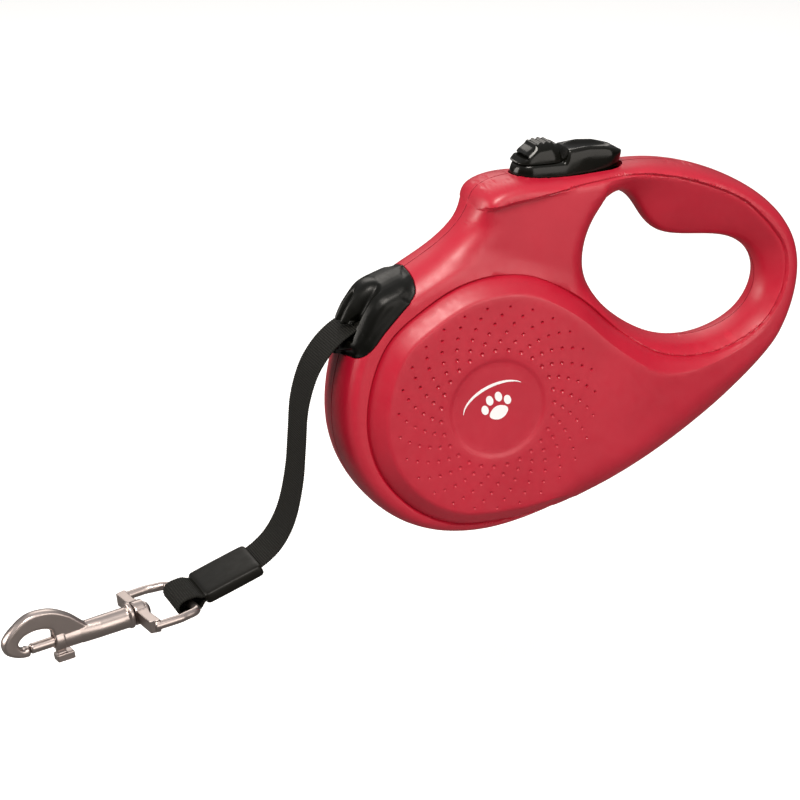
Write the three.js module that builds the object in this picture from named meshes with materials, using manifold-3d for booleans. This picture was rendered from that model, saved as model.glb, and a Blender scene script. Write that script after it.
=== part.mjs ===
// Retractable tape leash: two-shell casing with a hand loop, a spring-driven reel of tape, a thumb brake
// and a swivel bolt snap. Millimetres, +Z up. The reel turns about Y, the tape leaves towards -X and the
// hand loop is on the +X side. Everything is drawn about the middle of the reel axle, with outlines in the
// XZ plane; the last step moves the origin along the axle to the round seat in the left panel.
import * as THREE from 'three';
import { mergeVertices } from 'three/addons/utils/BufferGeometryUtils.js';
import Module from 'manifold-3d';

const wasm = await Module();
wasm.setup();

// ---------------------------------------------------------------- driving dimensions
const GAP = 0.3; // running gap between neighbouring pieces
const BIG = 300; // longer than the whole leash, for cutting blocks

// casing
const BODY_HALF = 15.5; // half thickness at the reel axis
const BODY_TAPER = 0.0012; // how much thinner each millimetre towards the hand loop is
const EDGE_ROUND = 5;
const WALL = 2.4;
const OUTLINE = [[3.5, 81], [-3, 66.5], [-19, 52.5], [-42, 43.5], [-51.5, 28], [-57.5, 4], [-55, -18.5],
  [-42.5, -37.5], [-26, -48], [-3.5, -52], [25.5, -46], [63.5, -31.5], [100, -10], [118, 8.5], [126, 29],
  [126, 48.5], [114.5, 64.5], [94.5, 76.5], [65.5, 84.5], [30.5, 79.5]];
const HAND_HOLE = [[41.5, 62.5], [37.5, 46], [45, 30.5], [65.5, 15.5], [85.5, 12.5], [103.5, 18], [112.5, 30],
  [110, 44], [97.5, 53], [68.5, 52], [61.5, 66], [53, 75]];
const TAIL = [[10, 47], [30, 38], [48, 23], [66, 9], [84, 6], [104, 13], [115, 8], [111, -4], [94, -14],
  [63, -29], [26, -43], [0, -45], [-20, -25], [-20, 25]];

// raised round panel over the reel, the same on both sides
const PANEL_HALF = 21;
const PANEL_R = 47.5;
const PANEL_CHAMFER = 5.5;
const PANEL_WALL = 2.2;
const DISH_R = 18;
const DISH_DEPTH = 0.6;
const TAIL_LOW_HALF = 13; // half thickness that the raised tail falls to under the hand loop
const TAIL_FALL_FROM = 44;
const TAIL_FALL_TO = 116;

// casing screws, put in from the right-hand side
const SCREW_PLACES = [[-22, 48], [-36, -37], [49, -27], [88, -3], [117.5, 37], [84, 66], [3.5, 69.5]];
const SCREW_SHANK_R = 1.3;
const SCREW_SHANK_END = -9;
const SCREW_HEAD_R = 3;
const SCREW_HEAD_H = 2;
const SCREW_SEAT = 8.5;
const BOSS_R = 3.3;
const SEAT_BOSS_R = 4.5;

// reel
const AXLE_R = 4;
const AXLE_HALF = 19.4;
const HUB_R = 16;
const TAPE_HALF = 10;
const FLANGE_R = 45;
const FLANGE_IN = 10.6;
const CASE_FLANGE_OUT = 12;
const RATCHET_OUT = 13;
const RATCHET_ROOT_R = 42;
const RATCHET_TEETH = 24;
const RATCHET_FACE_DEG = 4.5;
const COIL_R = 41.4;
const CUP_R = 37.5;
const CUP_WALL = 1.5;
const CUP_END = 16.6;
const COVER_IN = 16.9;
const COVER_OUT = 18.4;
const ARBOR_R = 5.5;
const SPRING_OUT_R = 29;
const SPRING_TURNS = 6;
const SPRING_STEPS = 16; // straight pieces in each drawn turn
const COVER_SCREW_R = 33;

// tape
const TAPE_THICK = 1.1;
const TAPE_RUN_R = 42.3; // radius where the tape leaves the coil
const TAPE_RUN_DEG = 103; // angle of that point; the tape leaves square to it
const TAPE_PATH = [[-47, 32.5], [-55, 28], [-61, 21.8], [-65.4, 14], [-68.4, 3], [-69.4, -10], [-70.6, -24],
  [-73.8, -38], [-79.4, -47.8], [-87.5, -54.2]];
const LOOP_R = 3; // middle of the tape where it goes round the eye bar
const LOOP_REACH = 1.2; // how far the centre of that turn lies beyond the bar

// sewn end, sleeve and swivel
const EYE_BAR = new THREE.Vector3(-113.4, 0, -65.3);
const END_TILT = THREE.MathUtils.degToRad(22.3); // slope of the sewn end below the horizontal
const SLEEVE_FROM_BAR = 6.4;
const SLEEVE_LENGTH = 23;
const SLEEVE_HALF_WIDTH = 11.5;
const SLEEVE_HALF_THICK = 2.5;
const HOOK_YAW = THREE.MathUtils.degToRad(188);
const HOOK_PITCH = THREE.MathUtils.degToRad(7.67);
const EYE_WIRE_R = 1.6;
const EYE_OUTLINE = [[0, -13.7], [7, -15.6], [18, -15.6], [18, 15.6], [7, 15.6], [0, 13.7]];
const EYE_CORNER = 2.6; // length of each rounded corner's two legs
const NECK_AT = 19.4; // distance of the swivel collar from the eye bar

// hook, measured along its barrel from the eye bar and square to it
const BARREL_R = 3.9;
const BARREL_END = 50.4;
const BORE_R = 2.3;
const BOLT_R = 1.9;
const BOLT_AXIS = -0.6;
const HOOK_PLATE = [[33, 1.5], [37.4, 2.8], [43.4, 8.4], [50.3, 12.1], [58.4, 12.6], [65, 9.3], [69.2, 5.1],
  [68.8, 0.5], [64.3, -2.3], [60, -2.6], [60, 0.7], [62.3, 0.8], [63.6, 3.1], [61, 5.3], [56.2, 6],
  [51.4, 4.6], [49.8, 1], [40, -2]];
const HOOK_HALF_THICK = 2;
const BOLT_SPRING = { r: 1.4, wire: 0.35, turns: 6, low: 0, high: 5.4 };

// thumb brake
const BUTTON_HALF_WIDTH = 7.3;
const BUTTON_FROM_X = 12.4;
const BUTTON_TO_X = 54.9;
const BUTTON_PROFILE = [[12.2, 74], [12.2, 82], [13.8, 85], [31.4, 85], [32.2, 89.4], [46, 89.6], [52.8, 88],
  [55, 86], [54, 82.4], [51, 80], [50, 77.6], [38, 77.6], [36, 74]];
const LOCK_PROFILE = [[13.6, 85.4], [14.6, 87], [17.1, 89.3], [20.7, 92], [25.5, 92.4], [30, 90.4],
  [31, 85.4]];
const LOCK_HALF_WIDTH = 6.4;
const BRAKE_TRAVEL = 3;
const LEG_X = [11, 15];
const LEG_HALF = 2.5;
const LEG_LOW = 63.6;
const PAWL_PIVOT = [-6, 54.5];
const PAWL_PUSH_X = 13; // where the button leg meets the pawl
const PAWL_SWING = BRAKE_TRAVEL / (PAWL_PUSH_X - PAWL_PIVOT[0]);
const PAWL_FACE = 10.9;
const PAWL_SIDE = 12.7;
const BUTTON_SPRING = { x: 24, y: -5, low: 60.3, high: 73.7, r: 2.6, wire: 0.5, turns: 6 };

// front outlet
const OUTLET_REGION = [[-29, 60], [-28.5, 48], [-29.5, 43.5], [-35.6, 36.8], [-41, 31], [-45, 26],
  [-49.2, 22.6], [-54, 20.5], [-70, 20.5], [-70, 60]];
const BEAK = [[-32, 49.5], [-38, 48.3], [-44.4, 45.2], [-48.2, 40.6], [-52.4, 33.6], [-46, 35], [-38, 38]];
const BEAK_HALF = 10.5;
const MOUTH_FLARE = [[-46, 32], [-60, 36], [-60, 24], [-49.5, 27]];

// ---------------------------------------------------------------- materials
const finish = (values) => new THREE.MeshStandardMaterial(values);
const plastic = (color, roughness) => finish({ color, roughness, metalness: 0 });
const metal = (color, roughness) => finish({ color, roughness, metalness: 1 });
const RED = plastic(0xc2202f, 0.38);
const BLACK = plastic(0x14140f, 0.3);
const NATURAL = plastic(0xd9d5c8, 0.5);
const WEBBING = plastic(0x17171a, 0.9);
const SLEEVE_BLACK = plastic(0x1d1c18, 0.5);
const NICKEL = metal(0xb9aca8, 0.25);
const STEEL = metal(0x9a9da0, 0.35);
const SPRING_STEEL = metal(0x5a6068, 0.35);

// ---------------------------------------------------------------- helpers
const vectors = (pairs) => pairs.map(([x, z]) => new THREE.Vector2(x, z));

/** Smooth closed curve drawn by control points (uniform cubic B-spline). */
function closedSpline(controls, steps) {
  const points = [];
  const n = controls.length;
  for (let i = 0; i < n; i += 1) {
    const [a, b, c, d] = [0, 1, 2, 3].map((k) => controls[(i + k) % n]);
    for (let s = 0; s < steps; s += 1) {
      const t = s / steps;
      const wa = (1 - t) ** 3 / 6;
      const wb = (3 * t ** 3 - 6 * t * t + 4) / 6;
      const wd = t ** 3 / 6;
      const wc = 1 - wa - wb - wd;
      points.push(new THREE.Vector2(
        wa * a[0] + wb * b[0] + wc * c[0] + wd * d[0],
        wa * a[1] + wb * b[1] + wc * c[1] + wd * d[1],
      ));
    }
  }
  return points;
}

/** Moves a closed outline inwards (positive distance) or outwards (negative). */
function inset(points, distance) {
  const side = THREE.ShapeUtils.isClockWise(points) ? -1 : 1;
  return points.map((p, i) => {
    const before = points.at(i - 1);
    const after = points[(i + 1) % points.length];
    const along = after.clone().sub(before).normalize();
    return new THREE.Vector2(p.x - side * along.y * distance, p.y + side * along.x * distance);
  });
}

/** Turns a geometry into a solid that can be joined and cut. */
function solid(geometry) {
  const bare = geometry.clone();
  bare.deleteAttribute('normal');
  bare.deleteAttribute('uv');
  const merged = mergeVertices(bare, 1e-4);
  return new wasm.Manifold(new wasm.Mesh({
    numProp: 3,
    vertProperties: new Float32Array(merged.attributes.position.array),
    triVerts: new Uint32Array(merged.index.array),
  }));
}

function geometryOf(body) {
  const { vertProperties, triVerts } = body.getMesh();
  const geometry = new THREE.BufferGeometry();
  geometry.setAttribute('position', new THREE.BufferAttribute(vertProperties, 3));
  geometry.setIndex(new THREE.BufferAttribute(triVerts, 1));
  geometry.computeVertexNormals();
  return geometry;
}

/** An XZ outline made solid from yMin to yMax, with its edges rounded by round. */
function slab(points, yMin, yMax, { round = 0, roundSteps = 2, holes = [], reshape = null } = {}) {
  const shape = new THREE.Shape(points);
  shape.holes = holes.map((hole) => new THREE.Path(hole));
  const geometry = new THREE.ExtrudeGeometry(shape, {
    depth: yMax - yMin - 2 * round,
    bevelEnabled: round > 0,
    bevelSize: round,
    bevelThickness: round,
    bevelOffset: -round,
    bevelSegments: roundSteps,
    curveSegments: 8,
  });
  geometry.rotateX(Math.PI / 2);
  geometry.translate(0, yMax - round, 0);
  if (reshape) reshape(geometry);
  return solid(geometry);
}

/** Thins the casing towards the hand loop. */
function taper(geometry) {
  const position = geometry.attributes.position;
  for (let i = 0; i < position.count; i += 1) {
    position.setY(i, position.getY(i) * (1 - BODY_TAPER * position.getX(i)));
  }
}

function box(x0, x1, y0, y1, z0, z1) {
  const geometry = new THREE.BoxGeometry(x1 - x0, y1 - y0, z1 - z0);
  geometry.translate((x0 + x1) / 2, (y0 + y1) / 2, (z0 + z1) / 2);
  return solid(geometry);
}

/** A round bar along Y. */
function bar(radius, yMin, yMax, x = 0, z = 0, segments = 12) {
  const geometry = new THREE.CylinderGeometry(radius, radius, yMax - yMin, segments);
  geometry.translate(x, (yMin + yMax) / 2, z);
  return solid(geometry);
}

/** A round bar along X, used in the hook's own frame. */
function barX(radius, xMin, xMax, z = 0, segments = 20) {
  const geometry = new THREE.CylinderGeometry(radius, radius, xMax - xMin, segments);
  geometry.rotateZ(Math.PI / 2);
  geometry.translate((xMin + xMax) / 2, 0, z);
  return solid(geometry);
}

/** A ring about the reel axis. */
function ring(innerR, outerR, yMin, yMax, segments = 36) {
  return bar(outerR, yMin, yMax, 0, 0, segments).subtract(bar(innerR, yMin - 1, yMax + 1, 0, 0, segments));
}

function join(pieces) {
  return pieces.reduce((sum, piece) => sum.add(piece));
}

function mesh(name, body, material) {
  const geometry = body instanceof THREE.BufferGeometry ? body : geometryOf(body);
  const made = new THREE.Mesh(geometry, material);
  made.name = name;
  return made;
}

/** Outline of a ribbon of the given thickness along a centreline. */
function ribbon(line, thickness) {
  const sides = [1, -1].map((side) => line.map((p, i) => {
    const before = line[Math.max(i - 1, 0)];
    const after = line[Math.min(i + 1, line.length - 1)];
    const along = after.clone().sub(before).normalize();
    return new THREE.Vector2(p.x - side * along.y * thickness / 2, p.y + side * along.x * thickness / 2);
  }));
  return [...sides[0], ...sides[1].reverse()];
}

/** A coil spring standing along Z. */
function coilSpring({ r, wire, turns, low, high }) {
  class Helix extends THREE.Curve {
    getPoint(t) {
      const angle = t * turns * 2 * Math.PI;
      const height = low + wire + t * (high - low - 2 * wire);
      return new THREE.Vector3(r * Math.cos(angle), r * Math.sin(angle), height);
    }
  }
  const section = new THREE.Shape().absarc(0, 0, wire, 0, 2 * Math.PI);
  return new THREE.ExtrudeGeometry(section, {
    steps: turns * 10,
    curveSegments: 3,
    extrudePath: new Helix(),
  });
}

// ---------------------------------------------------------------- casing
const outline = closedSpline(OUTLINE, 3);
const handHole = closedSpline(HAND_HOLE, 2);
const tailOutline = closedSpline(TAIL, 2);

/** A round lid shape about the reel axis with chamfered rims, reaching half each way. */
function drumLid(radius, half, chamfer) {
  const profile = vectors([[0, -half], [radius - chamfer, -half], [radius, chamfer - half],
    [radius, half - chamfer], [radius - chamfer, half], [0, half]]);
  return solid(new THREE.LatheGeometry(profile, 48));
}

/** The raised tail behind the drum, cut down on a slope towards the hand loop; thin shrinks it all round. */
function tail(thin) {
  const half = PANEL_HALF - (thin ? PANEL_WALL : 0);
  const low = TAIL_LOW_HALF - (thin ? PANEL_WALL : 0);
  let body = slab(inset(tailOutline, thin), -half, half, { round: PANEL_CHAMFER - thin, roundSteps: 1 });
  const slope = Math.atan2(half - low, TAIL_FALL_TO - TAIL_FALL_FROM);
  for (const side of [-1, 1]) {
    const block = new THREE.BoxGeometry(BIG, BIG, BIG);
    block.translate(BIG / 2 - 60, (side * BIG) / 2, 0);
    block.rotateZ(-side * slope);
    block.translate(TAIL_FALL_FROM, side * half, 0);
    body = body.subtract(solid(block));
  }
  return body;
}

const fullBody = join([
  slab(outline, -BODY_HALF, BODY_HALF, { round: EDGE_ROUND, holes: [handHole], reshape: taper }),
  drumLid(PANEL_R, PANEL_HALF, PANEL_CHAMFER),
  tail(0),
]);

const cavity = join([
  slab(inset(outline, WALL), WALL - BODY_HALF, BODY_HALF - WALL, {
    holes: [inset(handHole, -WALL)],
    reshape: taper,
  }),
  drumLid(PANEL_R - 1.5, PANEL_HALF - PANEL_WALL, PANEL_CHAMFER),
  tail(WALL),
]).subtract(slab(inset(handHole, -WALL), -BIG, BIG));

const outletRegion = slab(vectors(OUTLET_REGION), -BIG, BIG);
const outletPocket = slab(inset(vectors(OUTLET_REGION), -GAP), -BIG, BIG);

/** The plan shape of the thumb button, grown by extra, standing along Z. */
function buttonPlan(extra, zMin, zMax) {
  const half = BUTTON_HALF_WIDTH + extra;
  const plan = new THREE.Shape();
  plan.absarc(BUTTON_FROM_X + BUTTON_HALF_WIDTH, 0, half, Math.PI / 2, (3 * Math.PI) / 2);
  plan.absarc(BUTTON_TO_X - BUTTON_HALF_WIDTH, 0, half, -Math.PI / 2, Math.PI / 2);
  const settings = { depth: zMax - zMin, bevelEnabled: false, curveSegments: 12 };
  const geometry = new THREE.ExtrudeGeometry(plan, settings);
  geometry.translate(0, 0, zMin);
  return solid(geometry);
}

/** The straight way of the tape from the coil to the mouth, as a block. */
function tapeWay(halfWidth, height, from, to) {
  const geometry = new THREE.BoxGeometry(to - from, 2 * halfWidth, height);
  geometry.translate(-(from + to) / 2, 0, TAPE_RUN_R);
  geometry.rotateY(THREE.MathUtils.degToRad(90 - TAPE_RUN_DEG));
  return solid(geometry);
}

const pinHole = bar(1.7, -13, 14.3, ...PAWL_PIVOT, 12);
const buttonOpening = buttonPlan(0.5, 72, 100);
const dishes = join([-1, 1].map((side) => {
  const deep = side * (PANEL_HALF - DISH_DEPTH);
  return bar(DISH_R, Math.min(deep, side * 30), Math.max(deep, side * 30), 0, 0, 48);
}));
const shell = fullBody.subtract(cavity).subtract(dishes);

function leftCasing() {
  const bosses = SCREW_PLACES.map(([x, z]) => bar(BOSS_R, -BIG, 0, x, z, 8));
  const axleBoss = bar(6.2, -BIG, -17.3, 0, 0, 24);
  const pawlBoss = bar(3.2, -BIG, -3.6, ...PAWL_PIVOT);
  const springLedge = box(20, 28, -BIG, -1.6, 58, 60);
  const inner = join([...bosses, axleBoss, pawlBoss, springLedge]).intersect(fullBody).subtract(dishes);
  let casing = shell.add(inner);
  for (const [x, z] of SCREW_PLACES) {
    casing = casing.subtract(bar(SCREW_SHANK_R + GAP, SCREW_SHANK_END - 0.8, 1, x, z, 8));
  }
  casing = casing.subtract(bar(AXLE_R + GAP, -AXLE_HALF - 0.2, 0, 0, 0, 24));
  return trimCasing(casing, -1);
}

function rightCasing() {
  const bosses = SCREW_PLACES.flatMap(([x, z]) => [
    bar(BOSS_R, 0, BIG, x, z, 8),
    bar(SEAT_BOSS_R, SCREW_SEAT - 2, BIG, x, z, 8),
  ]);
  const axleBoss = bar(7, 14, BIG, 0, 0, 24);
  const inner = join([...bosses, axleBoss]).intersect(fullBody).subtract(dishes);
  let casing = shell.add(inner);
  for (const [x, z] of SCREW_PLACES) {
    casing = casing.subtract(bar(SCREW_SHANK_R + GAP, -1, BIG, x, z, 8));
    casing = casing.subtract(bar(SCREW_HEAD_R + GAP, SCREW_SEAT, BIG, x, z));
  }
  casing = casing.subtract(bar(AXLE_R + GAP, 0, AXLE_HALF + 0.2, 0, 0, 24));
  return trimCasing(casing, 1);
}

/** Keeps one half of the casing and cuts what passes through it. */
function trimCasing(casing, side) {
  const half = side < 0 ? box(-BIG, BIG, -BIG, -GAP / 2, -BIG, BIG) : box(-BIG, BIG, GAP / 2, BIG, -BIG, BIG);
  return casing
    .intersect(half)
    .subtract(outletPocket)
    .subtract(buttonOpening)
    .subtract(tapeWay(TAPE_HALF + 1, 4, 20, 50))
    .subtract(pinHole);
}

function outlet() {
  const beak = slab(vectors(BEAK), -BEAK_HALF, BEAK_HALF, { round: 1.5, roundSteps: 2 });
  const clear = bar(PANEL_R - 1.5, -14, 14, 0, 0, 48);
  return fullBody
    .intersect(outletRegion)
    .add(beak)
    .subtract(clear)
    .subtract(tapeWay(TAPE_HALF + 0.6, 2.4, 20, 62))
    .subtract(slab(vectors(MOUTH_FLARE), -TAPE_HALF - 0.6, TAPE_HALF + 0.6));
}

function screw(x, z) {
  const head = new THREE.CylinderGeometry(SCREW_HEAD_R, SCREW_HEAD_R, SCREW_HEAD_H, 12);
  head.translate(0, SCREW_SEAT + GAP + SCREW_HEAD_H / 2, 0);
  const shank = bar(SCREW_SHANK_R, SCREW_SHANK_END, SCREW_SEAT + 1, 0, 0, 8);
  const slotTop = SCREW_SEAT + GAP + SCREW_HEAD_H;
  const cross = join([
    box(-1.8, 1.8, slotTop - 1, slotTop + 1, -0.4, 0.4),
    box(-0.4, 0.4, slotTop - 1, slotTop + 1, -1.8, 1.8),
  ]);
  return geometryOf(solid(head).add(shank).subtract(cross)).translate(x, 0, z);
}

// ---------------------------------------------------------------- reel
/** Saw-tooth rim outline: each tooth climbs along its back and drops square. */
function ratchetOutline() {
  const points = [];
  for (let i = 0; i < RATCHET_TEETH; i += 1) {
    const start = RATCHET_FACE_DEG + (i * 360) / RATCHET_TEETH;
    for (const [turn, radius] of [[0, RATCHET_ROOT_R], [7, 43.5], [14, FLANGE_R], [14.6, FLANGE_R]]) {
      const angle = THREE.MathUtils.degToRad(start + turn);
      points.push(new THREE.Vector2(radius * Math.cos(angle), radius * Math.sin(angle)));
    }
  }
  return points;
}

const anchorPin = { x: 0, z: 12.4, r: 1.5 };

function reelDrum() {
  const hub = bar(HUB_R, GAP - FLANGE_IN, FLANGE_IN + 1, 0, 0, 36);
  const flange = slab(ratchetOutline(), FLANGE_IN, RATCHET_OUT);
  const lightening = join([0, 1, 2, 3].map((i) => {
    const angle = Math.PI / 4 + (i * Math.PI) / 2;
    return bar(4.2, -BIG, 8, 10 * Math.cos(angle), 10 * Math.sin(angle), 16);
  }));
  return hub
    .add(flange)
    .subtract(bar(AXLE_R + 0.2, -BIG, BIG, 0, 0, 24))
    .subtract(lightening)
    .subtract(bar(anchorPin.r + GAP, -BIG, TAPE_HALF, anchorPin.x, anchorPin.z, 12))
    .subtract(box(-0.9, 0.9, -BIG, TAPE_HALF, anchorPin.z, HUB_R + 1));
}

const coverScrewPlaces = [0, 1, 2].map((i) => {
  const angle = Math.PI / 2 + (i * 2 * Math.PI) / 3;
  return [COVER_SCREW_R * Math.cos(angle), COVER_SCREW_R * Math.sin(angle)];
});

function springCase() {
  const flange = ring(7.4, FLANGE_R, -CASE_FLANGE_OUT, -FLANGE_IN);
  const cup = ring(CUP_R - CUP_WALL, CUP_R, -CUP_END, -CASE_FLANGE_OUT + 0.5);
  const lugs = join(coverScrewPlaces.map(([x, z]) => bar(3.2, -CUP_END, -CASE_FLANGE_OUT + 0.5, x, z)))
    .intersect(bar(CUP_R - 0.5, -BIG, 0, 0, 0, 36));
  let body = join([flange, cup, lugs]);
  for (const [x, z] of coverScrewPlaces) {
    body = body.subtract(bar(0.8 + GAP, -BIG, -12.6, x, z, 10));
  }
  return body;
}

function springCover() {
  let body = ring(6.7, CUP_R, -COVER_OUT, -COVER_IN);
  for (const [x, z] of coverScrewPlaces) {
    body = body.subtract(bar(0.8 + GAP, -BIG, 0, x, z, 10)).subtract(bar(2.3, -BIG, -17.4, x, z, 12));
  }
  return body;
}

function coverScrew(x, z) {
  return geometryOf(bar(0.8, -17.8, -13, 0, 0, 8).add(bar(2, -18.3, -17.7, 0, 0, 12))).translate(x, 0, z);
}

/** Flat spiral spring: one ribbon wound from the arbor to the cup. */
function mainspring() {
  const line = [];
  const steps = SPRING_TURNS * SPRING_STEPS;
  for (let i = 0; i <= steps; i += 1) {
    const angle = (i / SPRING_STEPS) * 2 * Math.PI;
    const radius = THREE.MathUtils.lerp(ARBOR_R + 1, SPRING_OUT_R, i / steps);
    line.push(new THREE.Vector2(radius * Math.cos(angle), radius * Math.sin(angle)));
  }
  return slab(ribbon(line, 0.8), -CUP_END + 0.3, -CASE_FLANGE_OUT - GAP);
}

// ---------------------------------------------------------------- tape and sleeve
function leadTape() {
  const leave = THREE.MathUtils.degToRad(TAPE_RUN_DEG);
  const start = new THREE.Vector2(TAPE_RUN_R * Math.cos(leave), TAPE_RUN_R * Math.sin(leave));
  const hanging = new THREE.SplineCurve(vectors(TAPE_PATH)).getPoints(27);
  const along = new THREE.Vector2(-Math.cos(END_TILT), -Math.sin(END_TILT));
  const up = new THREE.Vector2(Math.sin(END_TILT) * -1, Math.cos(END_TILT));
  const fromBar = (s, t) => new THREE.Vector2(
    EYE_BAR.x + along.x * s + up.x * t,
    EYE_BAR.z + along.y * s + up.y * t,
  );
  const ply = 0.75;
  const upper = [[-22, ply], [-6.6, ply], [-3.6, 2.4], [-0.5, LOOP_R]].map(([s, t]) => fromBar(s, t));
  const round = [];
  for (let i = 1; i < 8; i += 1) {
    const angle = Math.PI / 2 - (i * Math.PI) / 8;
    round.push(fromBar(LOOP_REACH + LOOP_R * Math.cos(angle), LOOP_R * Math.sin(angle)));
  }
  const lower = [[-0.5, -LOOP_R], [-3.6, -2.4], [-6.6, -ply], [-26, -ply]].map(([s, t]) => fromBar(s, t));
  return slab(ribbon([start, ...hanging, ...upper, ...round, ...lower], TAPE_THICK), -TAPE_HALF, TAPE_HALF);
}

/** Leather-like sleeve over the sewn plies; drawn along -X from the eye bar, then tilted. */
function tapeSleeve() {
  const near = SLEEVE_FROM_BAR;
  const far = SLEEVE_FROM_BAR + SLEEVE_LENGTH;
  const half = SLEEVE_HALF_THICK;
  const w = SLEEVE_HALF_WIDTH;
  const section = new THREE.Shape(vectors([[1.5 - w, -half], [w - 1.5, -half], [w, 1.2 - half],
    [w, half - 1.2], [w - 1.5, half], [1.5 - w, half], [-w, half - 1.2], [-w, 1.2 - half]]));
  const slot = new THREE.Path(vectors([[-10.4, -1.6], [-10.4, 1.6], [10.4, 1.6], [10.4, -1.6]]));
  section.holes = [slot];
  const geometry = new THREE.ExtrudeGeometry(section, { depth: far - near, bevelEnabled: false });
  geometry.rotateX(Math.PI / 2);
  geometry.rotateZ(Math.PI / 2);
  geometry.translate(near, 0, 0);
  return geometry;
}

// ---------------------------------------------------------------- swivel and bolt snap, in the hook's frame
function swivelEye() {
  class EyeWire extends THREE.Curve {
    getPoint(t) {
      return eyePath.getPointAt(t);
    }
  }
  const eyePath = new THREE.CurvePath();
  const corners = EYE_OUTLINE.map(([x, y]) => new THREE.Vector3(x, y, 0));
  corners.forEach((corner, i) => {
    const next = corners[(i + 1) % corners.length];
    const last = corners.at(i - 1);
    const from = corner.clone().add(last.clone().sub(corner).setLength(EYE_CORNER));
    const to = corner.clone().add(next.clone().sub(corner).setLength(EYE_CORNER));
    const nextFrom = next.clone().add(corner.clone().sub(next).setLength(EYE_CORNER));
    eyePath.add(new THREE.QuadraticBezierCurve3(from, corner, to));
    eyePath.add(new THREE.LineCurve3(to, nextFrom));
  });
  const wire = new THREE.ExtrudeGeometry(new THREE.Shape().absarc(0, 0, EYE_WIRE_R, 0, 2 * Math.PI), {
    steps: 40,
    curveSegments: 4,
    extrudePath: new EyeWire(),
  });
  const base = box(NECK_AT - 3.4, NECK_AT, -15, 15, -2.4, 2.4);
  const boss = barX(4.4, NECK_AT - 3.8, NECK_AT + 0.4);
  return closeLoop(wire).add(base).add(boss).subtract(barX(2.3, 0, NECK_AT + 5));
}

/** The wire's two ends meet on the eye bar, under a small weld bead. */
function closeLoop(wire) {
  const [x, y] = EYE_OUTLINE[0];
  return solid(wire).add(bar(EYE_WIRE_R + 0.2, y + EYE_CORNER - 0.5, y + EYE_CORNER + 0.5, x, 0, 12));
}

function hookBody() {
  const edges = { round: 0.8, roundSteps: 1 };
  const plate = slab(closedSpline(HOOK_PLATE, 2), -HOOK_HALF_THICK, HOOK_HALF_THICK, edges);
  const barrel = barX(BARREL_R, NECK_AT + 2.2, BARREL_END, BOLT_AXIS);
  const collar = barX(4.9, NECK_AT + 0.8, NECK_AT + 2.6);
  const neck = barX(1.9, NECK_AT - 5.5, NECK_AT + 2);
  const rivet = barX(3.2, NECK_AT - 5.7, NECK_AT - 4.2);
  const bore = barX(BORE_R, 30, 54, BOLT_AXIS);
  const slot = box(40.2, 54, -1.5, 1.5, -8, BOLT_AXIS);
  return join([plate, barrel, collar, neck, rivet]).subtract(bore).subtract(slot);
}

function hookBolt() {
  const rod = barX(BOLT_R, 42.3, 59.6, BOLT_AXIS);
  const stem = box(46.6, 50.2, -1.2, 1.2, -7, BOLT_AXIS);
  const tab = box(44.2, 50.6, -2, 2, -8.4, -5);
  return join([rod, stem, tab]);
}

// ---------------------------------------------------------------- brake
function brakeButton() {
  const edges = { round: 0.8, roundSteps: 1 };
  const profile = slab(vectors(BUTTON_PROFILE), -BUTTON_HALF_WIDTH, BUTTON_HALF_WIDTH, edges);
  const leg = box(LEG_X[0], LEG_X[1], -LEG_HALF, LEG_HALF, LEG_LOW, 76);
  const dish = new THREE.SphereGeometry(1, 24, 16);
  dish.scale(11, 5.4, 2.2);
  dish.translate(43, 0, 90.3);
  return profile.intersect(buttonPlan(0, 70, 95)).add(leg).subtract(solid(dish));
}

function lockSlider() {
  const hump = slab(vectors(LOCK_PROFILE), -LOCK_HALF_WIDTH, LOCK_HALF_WIDTH, { round: 0.8, roundSteps: 1 });
  const ribs = [0, 1, 2, 3].map((i) => box(20.4 + 2.1 * i, 21.6 + 2.1 * i, -4.6, 4.6, 89, 93 - 0.25 * i * i));
  return join([hump, ...ribs]);
}

/** Brake pawl, drawn in its braking position about its pivot, then swung clear by the mesh's rotation. */
function brakePawl() {
  const polar = (radius, degrees) => [
    radius * Math.cos(THREE.MathUtils.degToRad(degrees)) - PAWL_PIVOT[0],
    radius * Math.sin(THREE.MathUtils.degToRad(degrees)) - PAWL_PIVOT[1],
  ];
  const tip = [polar(42.5, 66), polar(43.9, 71), polar(49, 78)];
  const nose = slab(vectors([...tip, [10, 6.5], [24, 4], polar(49, 63)]), PAWL_FACE, PAWL_SIDE);
  const lever = vectors([[-1, -3.4], [16, 0.4], [24.6, 0], [24.6, 4.2], [14, 6.6], [-1, 3.4]]);
  const arm = slab(lever, -3, PAWL_SIDE);
  const eye = bar(3.4, -3, PAWL_SIDE);
  return join([nose, arm, eye]).subtract(bar(1.7, -10, 20, 0, 0, 12));
}

// ---------------------------------------------------------------- assembly
const leash = new THREE.Group();

leash.add(
  mesh('left_casing', leftCasing(), RED),
  mesh('right_casing', rightCasing(), RED),
  mesh('nozzle_guide', outlet(), BLACK),
  mesh('reel_axle', bar(AXLE_R, -AXLE_HALF, AXLE_HALF, 0, 0, 24), STEEL),
  mesh('spring_arbor', ring(AXLE_R + GAP, ARBOR_R, -17, -11.5, 24), NATURAL),
  mesh('left_washer', ring(AXLE_R + 0.4, 7, -11.2, -10.7, 24), NATURAL),
  mesh('right_washer', ring(AXLE_R + 0.4, 7, 13.3, 13.7, 24), NATURAL),
  mesh('pawl_pin', bar(1.4, -12.6, 14, ...PAWL_PIVOT, 12), STEEL),
);
SCREW_PLACES.forEach(([x, z], i) => leash.add(mesh(`casing_screw_${i + 1}`, screw(x, z), STEEL)));

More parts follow.
